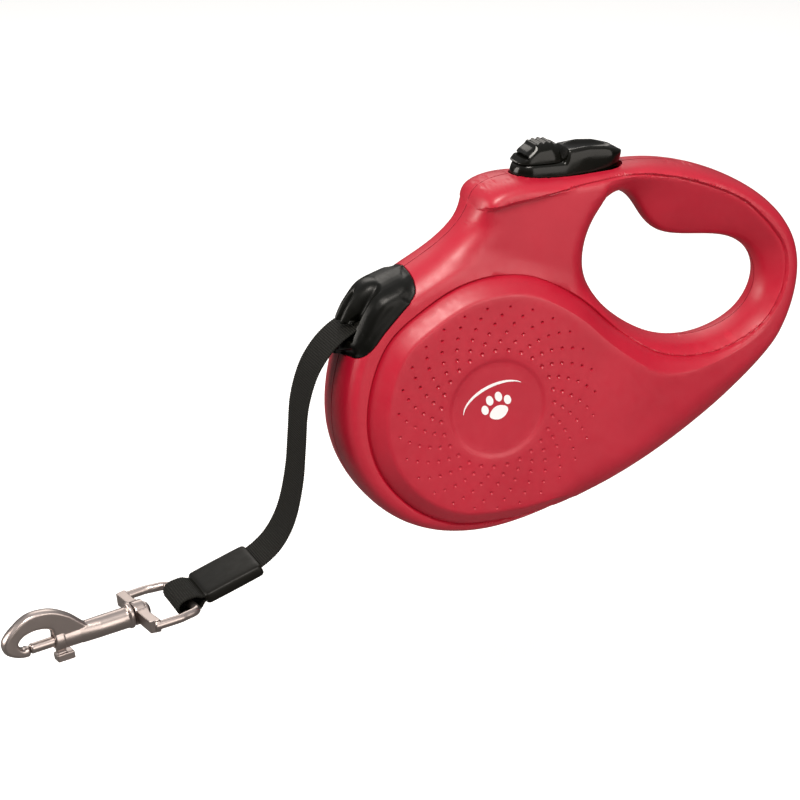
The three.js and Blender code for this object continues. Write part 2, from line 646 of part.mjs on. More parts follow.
const buttonSpring = mesh('button_spring', coilSpring(BUTTON_SPRING), SPRING_STEEL);
buttonSpring.position.set(BUTTON_SPRING.x, BUTTON_SPRING.y, 0);
leash.add(buttonSpring);

leash.add(
  mesh('reel_drum', reelDrum(), NATURAL),
  mesh('spring_case', springCase(), NATURAL),
  mesh('spring_cover', springCover(), NATURAL),
  mesh('mainspring', mainspring(), SPRING_STEEL),
  mesh('tape_coil', ring(HUB_R + 0.4, COIL_R, -TAPE_HALF, TAPE_HALF, 48), WEBBING),
  mesh('tape_anchor_pin', bar(anchorPin.r, -9.8, 9.7, anchorPin.x, anchorPin.z, 12), STEEL),
);
coverScrewPlaces.forEach(([x, z], i) => leash.add(mesh(`cover_screw_${i + 1}`, coverScrew(x, z), STEEL)));

leash.add(mesh('lead_tape', leadTape(), WEBBING));
const sleeve = mesh('tape_sleeve', tapeSleeve(), SLEEVE_BLACK);
sleeve.position.copy(EYE_BAR);
sleeve.rotation.y = -END_TILT;
leash.add(sleeve);

const hook = new THREE.Group();
hook.position.copy(EYE_BAR);
hook.rotation.set(0, HOOK_PITCH, HOOK_YAW, 'ZYX');
const boltSpring = mesh('bolt_spring', coilSpring(BOLT_SPRING), SPRING_STEEL);
boltSpring.rotation.y = Math.PI / 2;
boltSpring.position.set(30.4, 0, BOLT_AXIS);
hook.add(
  mesh('swivel_eye', swivelEye(), NICKEL),
  mesh('hook_body', hookBody(), NICKEL),
  mesh('hook_bolt', hookBolt(), NICKEL),
  boltSpring,
);
leash.add(hook);

const pawl = mesh('brake_pawl', brakePawl(), NATURAL);
pawl.position.set(PAWL_PIVOT[0], 0, PAWL_PIVOT[1]);
pawl.rotation.y = -PAWL_SWING;
leash.add(
  mesh('brake_button', brakeButton(), BLACK),
  mesh('lock_slider', lockSlider(), BLACK),
  pawl,
);

leash.position.y = PANEL_HALF - DISH_DEPTH;

export default leash;
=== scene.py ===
import math

import bmesh
import bpy
import numpy as np
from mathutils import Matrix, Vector
from mathutils.geometry import delaunay_2d_cdt


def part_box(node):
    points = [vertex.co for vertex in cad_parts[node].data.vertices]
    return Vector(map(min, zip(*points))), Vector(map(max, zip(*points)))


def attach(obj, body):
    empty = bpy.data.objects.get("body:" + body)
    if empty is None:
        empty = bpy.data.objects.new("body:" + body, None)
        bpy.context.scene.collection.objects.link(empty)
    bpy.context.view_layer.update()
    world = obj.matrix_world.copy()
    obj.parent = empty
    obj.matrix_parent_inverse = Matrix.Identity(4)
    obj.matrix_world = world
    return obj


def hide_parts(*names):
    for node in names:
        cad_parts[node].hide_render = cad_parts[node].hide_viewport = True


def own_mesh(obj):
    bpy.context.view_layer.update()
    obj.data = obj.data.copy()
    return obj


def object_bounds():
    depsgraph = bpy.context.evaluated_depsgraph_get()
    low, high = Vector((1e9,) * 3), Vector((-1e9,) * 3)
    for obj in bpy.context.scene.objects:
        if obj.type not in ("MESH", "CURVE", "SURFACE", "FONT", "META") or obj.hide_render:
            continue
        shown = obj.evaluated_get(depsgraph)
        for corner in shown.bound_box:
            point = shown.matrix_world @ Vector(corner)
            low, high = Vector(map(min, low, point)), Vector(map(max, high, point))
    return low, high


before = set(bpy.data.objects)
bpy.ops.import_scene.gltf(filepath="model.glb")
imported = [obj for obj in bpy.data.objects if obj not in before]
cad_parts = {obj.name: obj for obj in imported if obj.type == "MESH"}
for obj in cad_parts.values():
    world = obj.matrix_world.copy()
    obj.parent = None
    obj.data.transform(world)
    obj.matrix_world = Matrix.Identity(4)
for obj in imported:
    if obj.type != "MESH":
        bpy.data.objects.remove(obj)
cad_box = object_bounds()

# Shapes are drawn in millimetres about the casing's parting plane (y = 0), then moved into the row frame.
MM = 0.001
AXLE_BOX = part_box("reel_axle")
MID_Y = (AXLE_BOX[0].y + AXLE_BOX[1].y) / 2 / MM

# casing: curves in the XZ plane, then half thicknesses and depths
OUTLINE_CONTROL = [(14, 82), (2, 80), (-3.4, 76), (-4, 71.5), (-8, 64.5), (-18, 56), (-42, 43.5),
                   (-51.5, 28), (-57.5, 4), (-55, -18.5), (-42.5, -37.5), (-26, -48), (-3.5, -52),
                   (25.5, -46), (63.5, -31.5), (100, -10), (118, 8.5), (126, 29), (126, 48.5),
                   (114.5, 64.5), (94.5, 76.5), (65.5, 84.5), (30.5, 79.5)]
HOLE_CONTROL = [(41.5, 62.5), (37.5, 46), (45, 30.5), (65.5, 15.5), (85.5, 12.5), (103.5, 18),
                (112.5, 30), (110, 44), (97.5, 53), (68.5, 52), (61.5, 66), (53, 75)]
RIM_POINTS = [(-9, 71.3), (-4.3, 71.8), (0.5, 72.3), (7.4, 73.5), (18.1, 75), (28, 76.4), (40.6, 78.2),
              (58.6, 79.3), (78.5, 75.5), (98.9, 66.9), (112.9, 53.7), (118.1, 43.1), (116.7, 29.3),
              (107.7, 16.7), (88.9, 9), (68.5, 10.7), (50.4, 21.9), (34.6, 35.6), (18, 45.1), (3.4, 47.7),
              (-11.7, 45.4), (-25.4, 38.4), (-38.8, 27.6), (-45.7, 12.3), (-47.3, -5.8), (-42, -22.8),
              (-29.4, -36.8), (-12.7, -44.4), (9, -44.8), (19.3, -43.4), (27, -43), (36, -47)]
RIM_STEPS = 12
REAR_RIM_POINT = 12  # from here the rim is the edge of the side panel
NECK_RIM_POINT = 21  # here the rim leaves the neck for the drum
OUTSIDE_NECK = [(-70, 60), (-50, 80)]
OUTSIDE_PANEL = [(40, -80), (170, -80), (170, 29.3)]
BODY_HALF = 15.5
GRIP_THINNER = 3.0  # the body loses this much by the rear of the grip
HOLE_LIP = 3.6
PANEL_HALF = 21.0
TAIL_THINNER = 8.5  # the panel loses this much by the tail
EDGE_ROUND = 6.0
WALL = 2.2
EDGE_WALL = 2.4
SEAM = 0.02  # half the gap between the shells
SEAM_INSET = 0.2
DISH_R = 18.0
DISH_DEPTH = 0.5
DISH_EDGE = 1.1
CHAMFER = 5.6  # width of the slope round the side panel
GROOVE_DEPTH = 1.0  # of the line along the rim
GROOVE_HALF = 0.42
OUTLET_CONTROL = [(-29, 60), (-28.5, 48), (-29.5, 43.5), (-35.6, 36.8), (-41, 31), (-45, 26),
                  (-49.2, 22.6), (-54, 20.5), (-70, 20.5), (-70, 60)]
SCREWS = [(-22, 48), (-36, -37), (49, -27), (88, -3), (117.5, 37), (84, 66), (3.5, 69.5)]
SCREW_POST_R = {-1: 3.3, 1: 4.5}  # left and right shell
SCREW_BORE_R = 1.45
SCREW_BORE_TOP = 9
SCREW_HEAD_R = 3.3
SCREW_SEAT = 8.5
BOSS_TOP = 11.6  # of the bumps over the screw heads
PAWL_BOSS_TOP = 15.0
PAWL_PIN = (-6, 56)
BUTTON_X = (12.4, 54.9)
BUTTON_HALF = 7.3
BUTTON_GAP = 0.5
OUTLET_GAP = 0.12
PLAN_AREA = ((-60, -54), (128, 88))

RIB_PITCH = 0.85  # of the tape's cross ribs
CORD_PITCH = 0.55  # of the cords along it

# swivel snap frame: x along the hook, y across it towards the casing's left side, z square to both
EYE_BAR = np.array([-113.4, 0.0, -65.3])
SNAP_YAW = math.radians(8.0)
SNAP_PITCH = math.radians(7.67)


# -------- curves and distances
def bspline(control, steps=20):
    """Closed uniform cubic B-spline of the control points."""
    points = np.array(control, float)
    t = (np.arange(steps) / steps)[:, None]
    weights = [(1 - t) ** 3, 3 * t**3 - 6 * t**2 + 4, -3 * t**3 + 3 * t**2 + 3 * t + 1, t**3]
    spans = [sum(w * points[(i + k) % len(points)] for k, w in enumerate(weights)) / 6
             for i in range(len(points))]
    return np.concatenate(spans)


def through(control, steps):
    """Open curve through the given points."""
    p = np.array(control, float)
    p = np.vstack([2 * p[0] - p[1], p, 2 * p[-1] - p[-2]])
    t = (np.arange(steps) / steps)[:, None]
    spans = []
    for i in range(1, len(p) - 2):
        a, b, c, d = p[i - 1:i + 3]
        spans.append(0.5 * (2 * b + (c - a) * t + (2 * a - 5 * b + 4 * c - d) * t**2
                            + (3 * b - a - 3 * c + d) * t**3))
    return np.concatenate(spans + [p[-2:-1]])


def resample(points, pitch, closed):
    """The same polyline at an even pitch."""
    p = np.vstack([points, points[:1]]) if closed else np.asarray(points, float)
    run = np.r_[0, np.cumsum(np.linalg.norm(np.diff(p, axis=0), axis=1))]
    count = max(3, int(round(run[-1] / pitch)))
    at = np.linspace(0, run[-1], count, endpoint=not closed)
    return np.stack([np.interp(at, run, p[:, k]) for k in range(p.shape[1])], axis=1)


def distance(p, line, closed):
    """Distance of each point of p from a polyline."""
    a = line if closed else line[:-1]
    b = np.roll(line, -1, axis=0) if closed else line[1:]
    best = np.full(len(p), np.inf)
    for start, end in zip(a, b):
        d = end - start
        t = np.clip(((p - start) @ d) / (d @ d), 0, 1)
        off = p - start - t[:, None] * d
        best = np.minimum(best, np.einsum("ij,ij->i", off, off))
    return np.sqrt(best)


def inside(p, loop):
    """Which points of p lie inside a closed loop."""
    result = np.zeros(len(p), bool)
    for (x0, z0), (x1, z1) in zip(loop, np.roll(loop, -1, axis=0)):
        if z0 == z1:
            continue
        crosses = (z0 > p[:, 1]) != (z1 > p[:, 1])
        result ^= crosses & (p[:, 0] < (x1 - x0) * (p[:, 1] - z0) / (z1 - z0) + x0)
    return result


def offset(line, amount, closed):
    """The polyline moved sideways by one amount, or one for each point, positive being to its left."""
    if closed:
        along = np.roll(line, -1, axis=0) - np.roll(line, 1, axis=0)
    else:
        along = np.gradient(line, axis=0)
    along /= np.linalg.norm(along, axis=1)[:, None]
    moved = line + np.reshape(amount, (-1, 1)) * np.stack([-along[:, 1], along[:, 0]], axis=1)
    return moved[distance(moved, line, closed) > np.abs(amount) * 0.97]


def polygon_area(loop):
    """Signed area of a closed loop."""
    x, z = loop[:, 0], loop[:, 1]
    return 0.5 * np.sum(x * np.roll(z, -1) - np.roll(x, -1) * z)


def inward(loop, amount):
    """The closed loop drawn in by an amount, or grown where that is negative."""
    return offset(loop, amount if polygon_area(loop) > 0 else -amount, True)


def circle(x, z, radius, count):
    """Evenly spaced points round a centre."""
    angles = np.arange(count) * 2 * math.pi / count
    return np.stack([x + radius * np.cos(angles), z + radius * np.sin(angles)], axis=1)


def superellipse(count, power):
    """Points of a closed unit curve, from round (power 1) to nearly square (power 0)."""
    turns = np.linspace(0, 2 * math.pi, count, endpoint=False)
    return np.stack([np.sign(np.cos(turns)) * np.abs(np.cos(turns)) ** power,
                     np.sign(np.sin(turns)) * np.abs(np.sin(turns)) ** power], axis=1)


def ease(t):
    """Smooth step from 0 to 1."""
    t = np.clip(t, 0, 1)
    return t * t * (3 - 2 * t)


def rounded(t, power):
    """Edge profile: 0 at the edge, rising square to it, level from t = 1."""
    return (1 - (1 - np.clip(t, 0, 1)) ** power) ** (1 / power)


def bevel(t, blend):
    """Straight slope from 0 to 1 with a softened top corner."""
    corner = t - (t - 1 + blend) ** 2 / (4 * blend)
    return np.where(t < 1 - blend, t, np.where(t < 1 + blend, corner, 1.0))


def far_from(points, crowd, gap):
    """Which points have no crowd point in their own cell or the next ones, cells being one gap wide."""
    cells = {(x, z) for x, z in np.floor(crowd / gap).astype(int)}
    around = [(i, j) for i in (-1, 0, 1) for j in (-1, 0, 1)]
    return np.array([not any((x + i, z + j) in cells for i, j in around)
                     for x, z in np.floor(points / gap).astype(int)])


def grid(low, high, pitch, crowd, gap):
    """Staggered points over a rectangle, where they keep the gap from the crowd."""
    rows = np.arange(low[1], high[1], pitch * 0.866)
    columns = np.arange(low[0], high[0], pitch)
    points = np.array([(x + (i % 2) * pitch / 2, z) for i, z in enumerate(rows) for x in columns])
    return points[far_from(points, crowd, gap)]


# -------- meshes
def row(points):
    """Millimetres about the parting plane to metres in the row frame."""
    return (np.asarray(points, float) + (0, MID_Y, 0)) * MM


def mesh_piece(name, points, faces, place=row):
    """A closed mesh from points and faces."""
    mesh = bpy.data.meshes.new(name)
    mesh.from_pydata(place(points).tolist(), [], faces)
    work = bmesh.new()
    work.from_mesh(mesh)
    bmesh.ops.remove_doubles(work, verts=work.verts, dist=1e-7)
    bmesh.ops.recalc_face_normals(work, faces=work.faces)
    work.to_mesh(mesh)
    work.free()
    piece = bpy.data.objects.new(name, mesh)
    bpy.context.scene.collection.objects.link(piece)
    return piece


def bake(piece):
    """Applies the modifiers."""
    graph = bpy.context.evaluated_depsgraph_get()
    baked = bpy.data.meshes.new_from_object(piece.evaluated_get(graph))
    piece.modifiers.clear()
    piece.data = baked
    return piece


def combine(piece, other, operation):
    """Boolean of two closed pieces; the second is used up."""
    step = piece.modifiers.new("combine", "BOOLEAN")
    step.solver = "MANIFOLD"
    step.operation = operation
    step.object = other
    bake(piece)
    bpy.data.objects.remove(other)
    return piece


def cut(piece, other):
    """Takes the second piece out of the first."""
    return combine(piece, other, "DIFFERENCE")


def join(piece, other):
    """Adds the second piece to the first."""
    return combine(piece, other, "UNION")


def shade(piece, degrees=32):
    """Smooth shading with edges sharper than the angle kept."""
    for face in piece.data.polygons:
        face.use_smooth = True
    piece.data.set_sharp_from_angle(angle=math.radians(degrees))
    return piece


def melt(piece, voxel, passes):
    """Fuses the piece into one skin with softly rounded edges, like a casting."""
    remesh = piece.modifiers.new("fuse", "REMESH")
    remesh.mode = "VOXEL"
    remesh.voxel_size = voxel * MM
    soften = piece.modifiers.new("soften", "SMOOTH")
    soften.iterations = passes
    soften.factor = 0.5
    return bake(piece)


def triangulate(lines, free, keep):
    """Flat triangulation that holds the (line, closed) edges; keep picks the triangles by their centres."""
    points, edges = [], []
    for line, closed in lines:
        first, count = len(points), len(line)
        points.extend(line.tolist())
        edges.extend((first + i, first + (i + 1) % count) for i in range(count if closed else count - 1))
    points.extend(free.tolist())
    made = delaunay_2d_cdt([Vector(p) for p in points], edges, [], 0, 1e-5)
    flat = np.array([tuple(p) for p in made[0]])
    faces = np.array([tuple(f) for f in made[2]])
    faces = faces[keep(flat[faces].mean(axis=1))]
    used, faces = np.unique(faces, return_inverse=True)
    return flat[used], faces.reshape(-1, 3)


def along_y(flat, height):
    """Points of the XZ plane at one height along Y, or one for each."""
    return np.stack([flat[:, 0], np.broadcast_to(height, len(flat)), flat[:, 1]], axis=1)


def along_z(flat, height):
    """Points of the XY plane at one height along Z, or one for each."""
    return np.stack([flat[:, 0], flat[:, 1], np.broadcast_to(height, len(flat))], axis=1)


def filled(loop, strips, low, high, pitch):
    """Triangulated inside of one loop, with the strips and an even spread of points in it."""
    spread = grid(low, high, pitch, np.vstack([strips, loop]), pitch * 0.5)
    return triangulate([(loop, True)], np.vstack([strips, spread]), lambda centres: inside(centres, loop))


def stepped(loop, rows, pitch):
    """Triangulated inside of one loop, with rows of points at the given depths from its edge."""
    strips = np.concatenate([inward(loop, depth) for depth in rows])
    return filled(loop, strips, loop.min(axis=0), loop.max(axis=0), pitch)


def field_solid(name, flat, faces, top, bottom, lift, inset=0.0, place=row):
    """Closed solid between two height fields; the bottom edge can be drawn in a little by the inset."""
    directed = {}
    for a, b, c in faces:
        for edge in ((a, b), (b, c), (c, a)):
            directed[edge] = True
    border = [edge for edge in directed if (edge[1], edge[0]) not in directed]
    low_flat = flat.copy()
    if inset:
        for a, b in border:
            along = flat[b] - flat[a]
            left = np.array([-along[1], along[0]]) / max(np.linalg.norm(along), 1e-9)
            low_flat[a] += left * inset / 2
            low_flat[b] += left * inset / 2
    count = len(flat)
    points = np.vstack([lift(flat, top), lift(low_flat, bottom)])
    solid = [tuple(f) for f in faces] + [(a + count, c + count, b + count) for a, b, c in faces]
    solid += [(b, a, a + count, b + count) for a, b in border]
    return mesh_piece(name, points, [tuple(int(i) for i in f) for f in solid], place)


def prism(name, loop, low, high, place=row, lift=along_y):
    """Straight slab of a closed loop; by default the loop lies in the XZ plane and runs along Y."""
    loop = np.asarray(loop, float)
    count = len(loop)
    points = np.vstack([lift(loop, low), lift(loop, high)])
    faces = [tuple(range(count)), tuple(range(count, 2 * count))]
    faces += [(i, (i + 1) % count, (i + 1) % count + count, i + count) for i in range(count)]
    return mesh_piece(name, points, faces, place)


def loft(name, rings, place=row, closed=False):
    """Skin over rings of equal point count, capped at both ends or closed on itself."""
    count = len(rings[0])
    points = np.concatenate(rings)
    total = len(rings)
    faces = []
    for i in range(total if closed else total - 1):
        for k in range(count):
            j = (k + 1) % count
            n = (i + 1) % total
            faces.append((i * count + k, i * count + j, n * count + j, n * count + k))
    if not closed:
        faces += [tuple(range(count)), tuple(range((total - 1) * count, total * count))]
    return mesh_piece(name, points, faces, place)


def turned(name, profile, place=row, centre=(0, 0), segments=48):
    """Round bar along the local x axis from (station, radius) or (station, radius in y, radius in z)."""
    angles = np.arange(segments) * 2 * math.pi / segments
    rings = [np.stack([np.full(segments, station), centre[0] + radii[0] * np.cos(angles),
                       centre[1] + radii[-1] * np.sin(angles)], axis=1) for station, *radii in profile]
    return loft(name, rings, place)


def post(name, x, z, radius, y0, y1):
    """Round bar along Y."""
    return prism(name, circle(x, z, radius, 32), y0, y1)


# -------- materials
class Nodes:
    """Short calls for building a node tree."""

    def __init__(self, name):
        self.material = bpy.data.materials.new(name)
        self.material.use_nodes = True
        self.tree = self.material.node_tree
        self.tree.nodes.clear()
        self.output = self.add("ShaderNodeOutputMaterial")
        self.skin = self.add("ShaderNodeBsdfPrincipled")
        self.link(self.skin.outputs[0], self.output, "Surface")

    def add(self, kind, **settings):
        """A node with its inputs or properties set."""
        node = self.tree.nodes.new(kind)
        for key, value in settings.items():
            if key in node.inputs:
                self.put(node, key, value)
            else:
                setattr(node, key, value)
        return node

    def put(self, node, key, value):
        """Links an output to an input, or sets the input's plain value."""
        if hasattr(value, "is_output"):
            self.link(value, node, key)
        else:
            node.inputs[key].default_value = value

    def link(self, output, node, key):
        self.tree.links.new(output, node.inputs[key])

    def place(self):
        """Coordinates of the piece itself."""
        return self.add("ShaderNodeTexCoord").outputs["Object"]

    def noise(self, scale, detail=4, vector=None):
        node = self.add("ShaderNodeTexNoise", Scale=scale, Detail=detail)
        self.link(vector or self.place(), node, "Vector")
        return node.outputs["Fac"]

    def math(self, operation, *values):
        node = self.add("ShaderNodeMath", operation=operation)
        for i, value in enumerate(values):
            self.put(node, i, value)
        return node.outputs[0]

    def ramp(self, value, low, high, low_at=0.3, high_at=0.7):
        """Straight change from low to high between two values."""
        node = self.add("ShaderNodeMapRange")
        self.put(node, "Value", value)
        self.put(node, "From Min", low_at)
        self.put(node, "From Max", high_at)
        self.put(node, "To Min", low)
        self.put(node, "To Max", high)
        return node.outputs["Result"]

    def mix(self, factor, first, second):
        node = self.add("ShaderNodeMix", data_type="RGBA")
        self.put(node, 0, factor)
        self.put(node, 6, first)
        self.put(node, 7, second)
        return node.outputs[2]

    def bump(self, height, strength, reach):
        node = self.add("ShaderNodeBump", Strength=strength, Distance=reach)
        self.link(height, node, "Height")
        self.link(node.outputs[0], self.skin, "Normal")

    def worn(self, amount):
        """1 on rubbed outer edges, 0 elsewhere."""
        edge = self.add("ShaderNodeNewGeometry").outputs["Pointiness"]
        return self.math("MULTIPLY", self.ramp(edge, 0.0, amount, 0.515, 0.56), self.noise(900, 3))


def colour(red, green, blue):
    """Opaque colour of a node socket."""
    return (red, green, blue, 1.0)


def moulded(name, deep, bright, rough, grain_scale, grain, gloss=0.5):
    """Injection-moulded plastic: slight colour clouds, spark-eroded grain, rubbed edges."""
    n = Nodes(name)
    base = n.mix(n.ramp(n.noise(35, 5), 0.0, 1.0), deep, bright)
    pale = colour(*(min(1.0, c * 1.5 + 0.02) for c in bright[:3]))
    n.put(n.skin, "Base Color", n.mix(n.worn(0.35), base, pale))
    n.put(n.skin, "Roughness", n.ramp(n.noise(220, 6), rough - 0.05, rough + 0.07))
    n.put(n.skin, "Specular IOR Level", gloss)
    n.bump(n.noise(grain_scale, 3), grain, 0.00006)
    return n.material


def plated(name, deep, bright, rough, brush):
    """Metal with soft tarnish clouds, fine scratches and brighter rubbed edges."""
    n = Nodes(name)
    base = n.mix(n.ramp(n.noise(120, 6), 0.0, 1.0), deep, bright)
    pale = colour(*(min(1.0, c * 1.15) for c in bright[:3]))
    n.put(n.skin, "Base Color", n.mix(n.worn(0.05), base, pale))
    n.put(n.skin, "Metallic", 1.0)
    n.put(n.skin, "Roughness", n.ramp(n.noise(160, 4), rough - 0.02, rough + 0.03))
    stretch = n.add("ShaderNodeMapping")
    n.link(n.place(), stretch, "Vector")
    stretch.inputs["Scale"].default_value = (1.0, 12.0, 12.0)
    n.bump(n.noise(700, 4, stretch.outputs[0]), brush, 0.00004)
    return n.material


def webbing(name, deep, bright):
    """Woven tape: warp cords along it, weft ribs across it, with a little lint."""
    n = Nodes(name)
    run = n.add("ShaderNodeAttribute", attribute_name="run").outputs["Fac"]
    across = n.add("ShaderNodeAttribute", attribute_name="across").outputs["Fac"]
    warp = n.math("SINE", n.math("MULTIPLY", across, 2 * math.pi / CORD_PITCH))
    weft = n.math("COSINE", n.math("MULTIPLY", run, 2 * math.pi / RIB_PITCH))
    weave = n.math("MULTIPLY_ADD", n.math("MULTIPLY_ADD", warp, 0.3, weft), -0.3, 0.5)
    lint = n.noise(2600, 4)
    height = n.math("MULTIPLY_ADD", lint, 0.3, weave)
    n.put(n.skin, "Base Color", n.mix(n.ramp(height, 0.0, 1.0, 0.2, 1.0), deep, bright))
    n.put(n.skin, "Roughness", n.ramp(lint, 0.5, 0.75))
    n.put(n.skin, "Specular IOR Level", 0.15)
    n.bump(height, 0.7, 0.00015)
    return n.material


RED = moulded("red_plastic", colour(0.41, 0.002, 0.020), colour(0.47, 0.005, 0.026),
              rough=0.41, grain_scale=2600, grain=0.06, gloss=0.65)
BLACK = moulded("black_plastic", colour(0.002, 0.002, 0.0012), colour(0.0045, 0.0045, 0.003),
                rough=0.17, grain_scale=1800, grain=0.03, gloss=0.25)
SATIN = moulded("satin_black", colour(0.001, 0.0011, 0.0006), colour(0.003, 0.003, 0.0018),
                rough=0.34, grain_scale=1500, grain=0.05, gloss=0.22)
NATURAL = moulded("natural_plastic", colour(0.55, 0.54, 0.50), colour(0.66, 0.65, 0.60),
                  rough=0.45, grain_scale=1500, grain=0.2)
SLEEVE = moulded("sleeve_rubber", colour(0.0022, 0.002, 0.0014), colour(0.006, 0.0055, 0.0038),
                 rough=0.42, grain_scale=1300, grain=0.3, gloss=0.2)
MARK = moulded("white_print", colour(0.80, 0.79, 0.80), colour(0.90, 0.88, 0.90),
               rough=0.40, grain_scale=3000, grain=0.2)
NICKEL = plated("nickel", colour(0.46, 0.39, 0.37), colour(0.50, 0.43, 0.405), rough=0.31, brush=0.02)
STEEL = plated("steel", colour(0.42, 0.42, 0.43), colour(0.56, 0.56, 0.57), rough=0.30, brush=0.1)
SPRING = plated("spring_steel", colour(0.30, 0.31, 0.34), colour(0.44, 0.45, 0.48), rough=0.32, brush=0.4)
WEB = webbing("webbing", colour(0.0004, 0.0004, 0.0003), colour(0.012, 0.0115, 0.009))


def dress(piece, material, body, slot, *nodes):
    """Gives a piece its material and body, and hides the CAD nodes it stands for; the slot is not used."""
    piece.data.materials.clear()
    piece.data.materials.append(material)
    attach(piece, body)
    if nodes:
        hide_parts(*nodes)
    return piece


# -------- casing form
OUTLINE = resample(bspline(OUTLINE_CONTROL), 1.2, True)
HOLE = resample(bspline(HOLE_CONTROL), 1.5, True)
RIM_FINE = through(RIM_POINTS, RIM_STEPS)
RIM = resample(RIM_FINE, 1.3, False)
GRIP_ZONE = np.vstack([RIM_FINE[:NECK_RIM_POINT * RIM_STEPS + 1], OUTSIDE_NECK])
PANEL_ZONE = np.vstack([RIM_FINE[REAR_RIM_POINT * RIM_STEPS:], OUTSIDE_PANEL])
PIT_RINGS = [22, 25.3, 28.6, 31.9, 35, 38]
PIT_RAYS = 27
PIT_R = 0.9


def pit_centres():
    """Places and sizes of the small pits on curved rays round the dish."""
    pits = []
    for ring, radius in enumerate(PIT_RINGS):
        for ray in range(PIT_RAYS):
            angle = 2 * math.pi * (ray + 0.5 * (ring % 2)) / PIT_RAYS + 0.035 * ring
            pits.append((radius * math.cos(angle), radius * math.sin(angle), PIT_R * (1.0 - 0.07 * ring)))
    return np.array(pits)


PITS = pit_centres()


def chamfer_width(x):
    """Width of the slope round the side panel; narrower towards the tail."""
    return CHAMFER - 3.6 * ease((x - 62) / 36)


def grip_height(p, edge, hole, rim, body, edge_width, far):
    """Half thickness of the grip and neck: rounded to the outline, sloping down to the hand hole's lip."""
    x, z = p[:, 0], p[:, 1]
    # the side behind the rim line sits a little lower than the rim, most of all on the neck
    recess = (0.6 + 1.3 * ease((48 - x) / 45)) * (0.7 if far else 1)
    recess = recess * ease((z - 44 + 0.35 * np.clip(x, 0, 60)) / 14) * ease(rim / 0.9)
    inner_width = edge_width + 6 * ease(rim / 8) * ease((20 - x) / 15)
    inner = (body - recess) * rounded(edge / inner_width, 2.6)
    # the neck keeps its thickness until close to the hand hole, and the grip slopes all the way to it
    grip_share = ease((x - 44) / 14)
    across = hole / np.minimum(hole + rim, 60 - 52 * (1 - grip_share))
    tube = HOLE_LIP + (inner - HOLE_LIP) * bevel(across ** 0.78, 0.12)
    neck = inner * rounded(across, 1.9)
    return neck + (tube * rounded(hole / 2.0, 2.0) - neck) * grip_share


def panel_height(p, edge, rim, body, edge_width):
    """Half thickness of the drum and tail, with the raised side panel inside its chamfer."""
    x, z = p[:, 0], p[:, 1]
    in_panel = inside(p, PANEL_ZONE)
    panel_top = PANEL_HALF - TAIL_THINNER * ease((x - 40) / 78)
    slope = bevel(rim / chamfer_width(x), 0.1)
    # along the bottom towards the tail the panel runs out to the edge
    slope = np.maximum(slope, ease((x - 4) / 36) * ease((-20 - z) / 10))
    outer = np.where(in_panel, body + (panel_top - body) * slope, body)
    return outer * rounded(edge / np.where(in_panel, edge_width, EDGE_ROUND), 2.6)


def far_bosses(p, edge, hole):
    """Bumps of the far side over the screw heads and the pawl pin, fading towards the edges."""
    at_screws = [np.hypot(p[:, 0] - x, p[:, 1] - z) for x, z in SCREWS]
    fade = rounded(np.minimum(edge / 5, hole / 9), 2.0)
    bosses = [BOSS_TOP * ease((6.6 - away) / 2.4) * fade for away in at_screws]
    at_pawl = np.hypot(p[:, 0] - PAWL_PIN[0], p[:, 1] - PAWL_PIN[1])
    bosses.append(PAWL_BOSS_TOP * ease((7.5 - at_pawl) / 3) * rounded(edge / 7, 2.0))
    return np.max(bosses, axis=0)


def pit_depth(p):
    """Depth of the small pits, shallower towards the bottom of the panel."""
    nearest = np.full(len(p), np.inf)
    size = np.ones(len(p))
    for x, z, radius in PITS:
        away = np.hypot(p[:, 0] - x, p[:, 1] - z)
        nearer = away < nearest
        size[nearer] = radius
        nearest[nearer] = away[nearer]
    return (0.45 + 0.35 * ease((p[:, 1] + 10) / 20)) * ease(1.3 * (size - nearest) / size)


def side_height(p, detail=True, far=False):
    """Half thickness of the casing at each point of the XZ plane."""
    x, z = p[:, 0], p[:, 1]
    edge = distance(p, OUTLINE, True)
    hole = distance(p, HOLE, True)
    rim = distance(p, RIM, False)
    body = BODY_HALF - GRIP_THINNER * ease(x / 70)
    edge_width = EDGE_ROUND + 9.0 * ease((x - 5) / 35) * ease((14 - z) / 22)
    height = np.where(inside(p, GRIP_ZONE),
                      grip_height(p, edge, hole, rim, body, edge_width, far),
                      panel_height(p, edge, rim, body, edge_width))
    if far:
        height = np.maximum(height, far_bosses(p, edge, hole))
    if detail:
        groove = GROOVE_DEPTH * np.exp(-(rim / GROOVE_HALF) ** 2) * ease((edge - 0.8) / 1.5)
        dish = DISH_DEPTH * ease((DISH_R + DISH_EDGE - np.hypot(x, z)) / (2 * DISH_EDGE))
        height = height - groove - dish - pit_depth(p)
    return np.maximum(height, 0.3)


def in_casing(points):
    """Which points lie on the casing's side, outside the hand hole."""
    return inside(points, OUTLINE) & ~inside(points, HOLE)


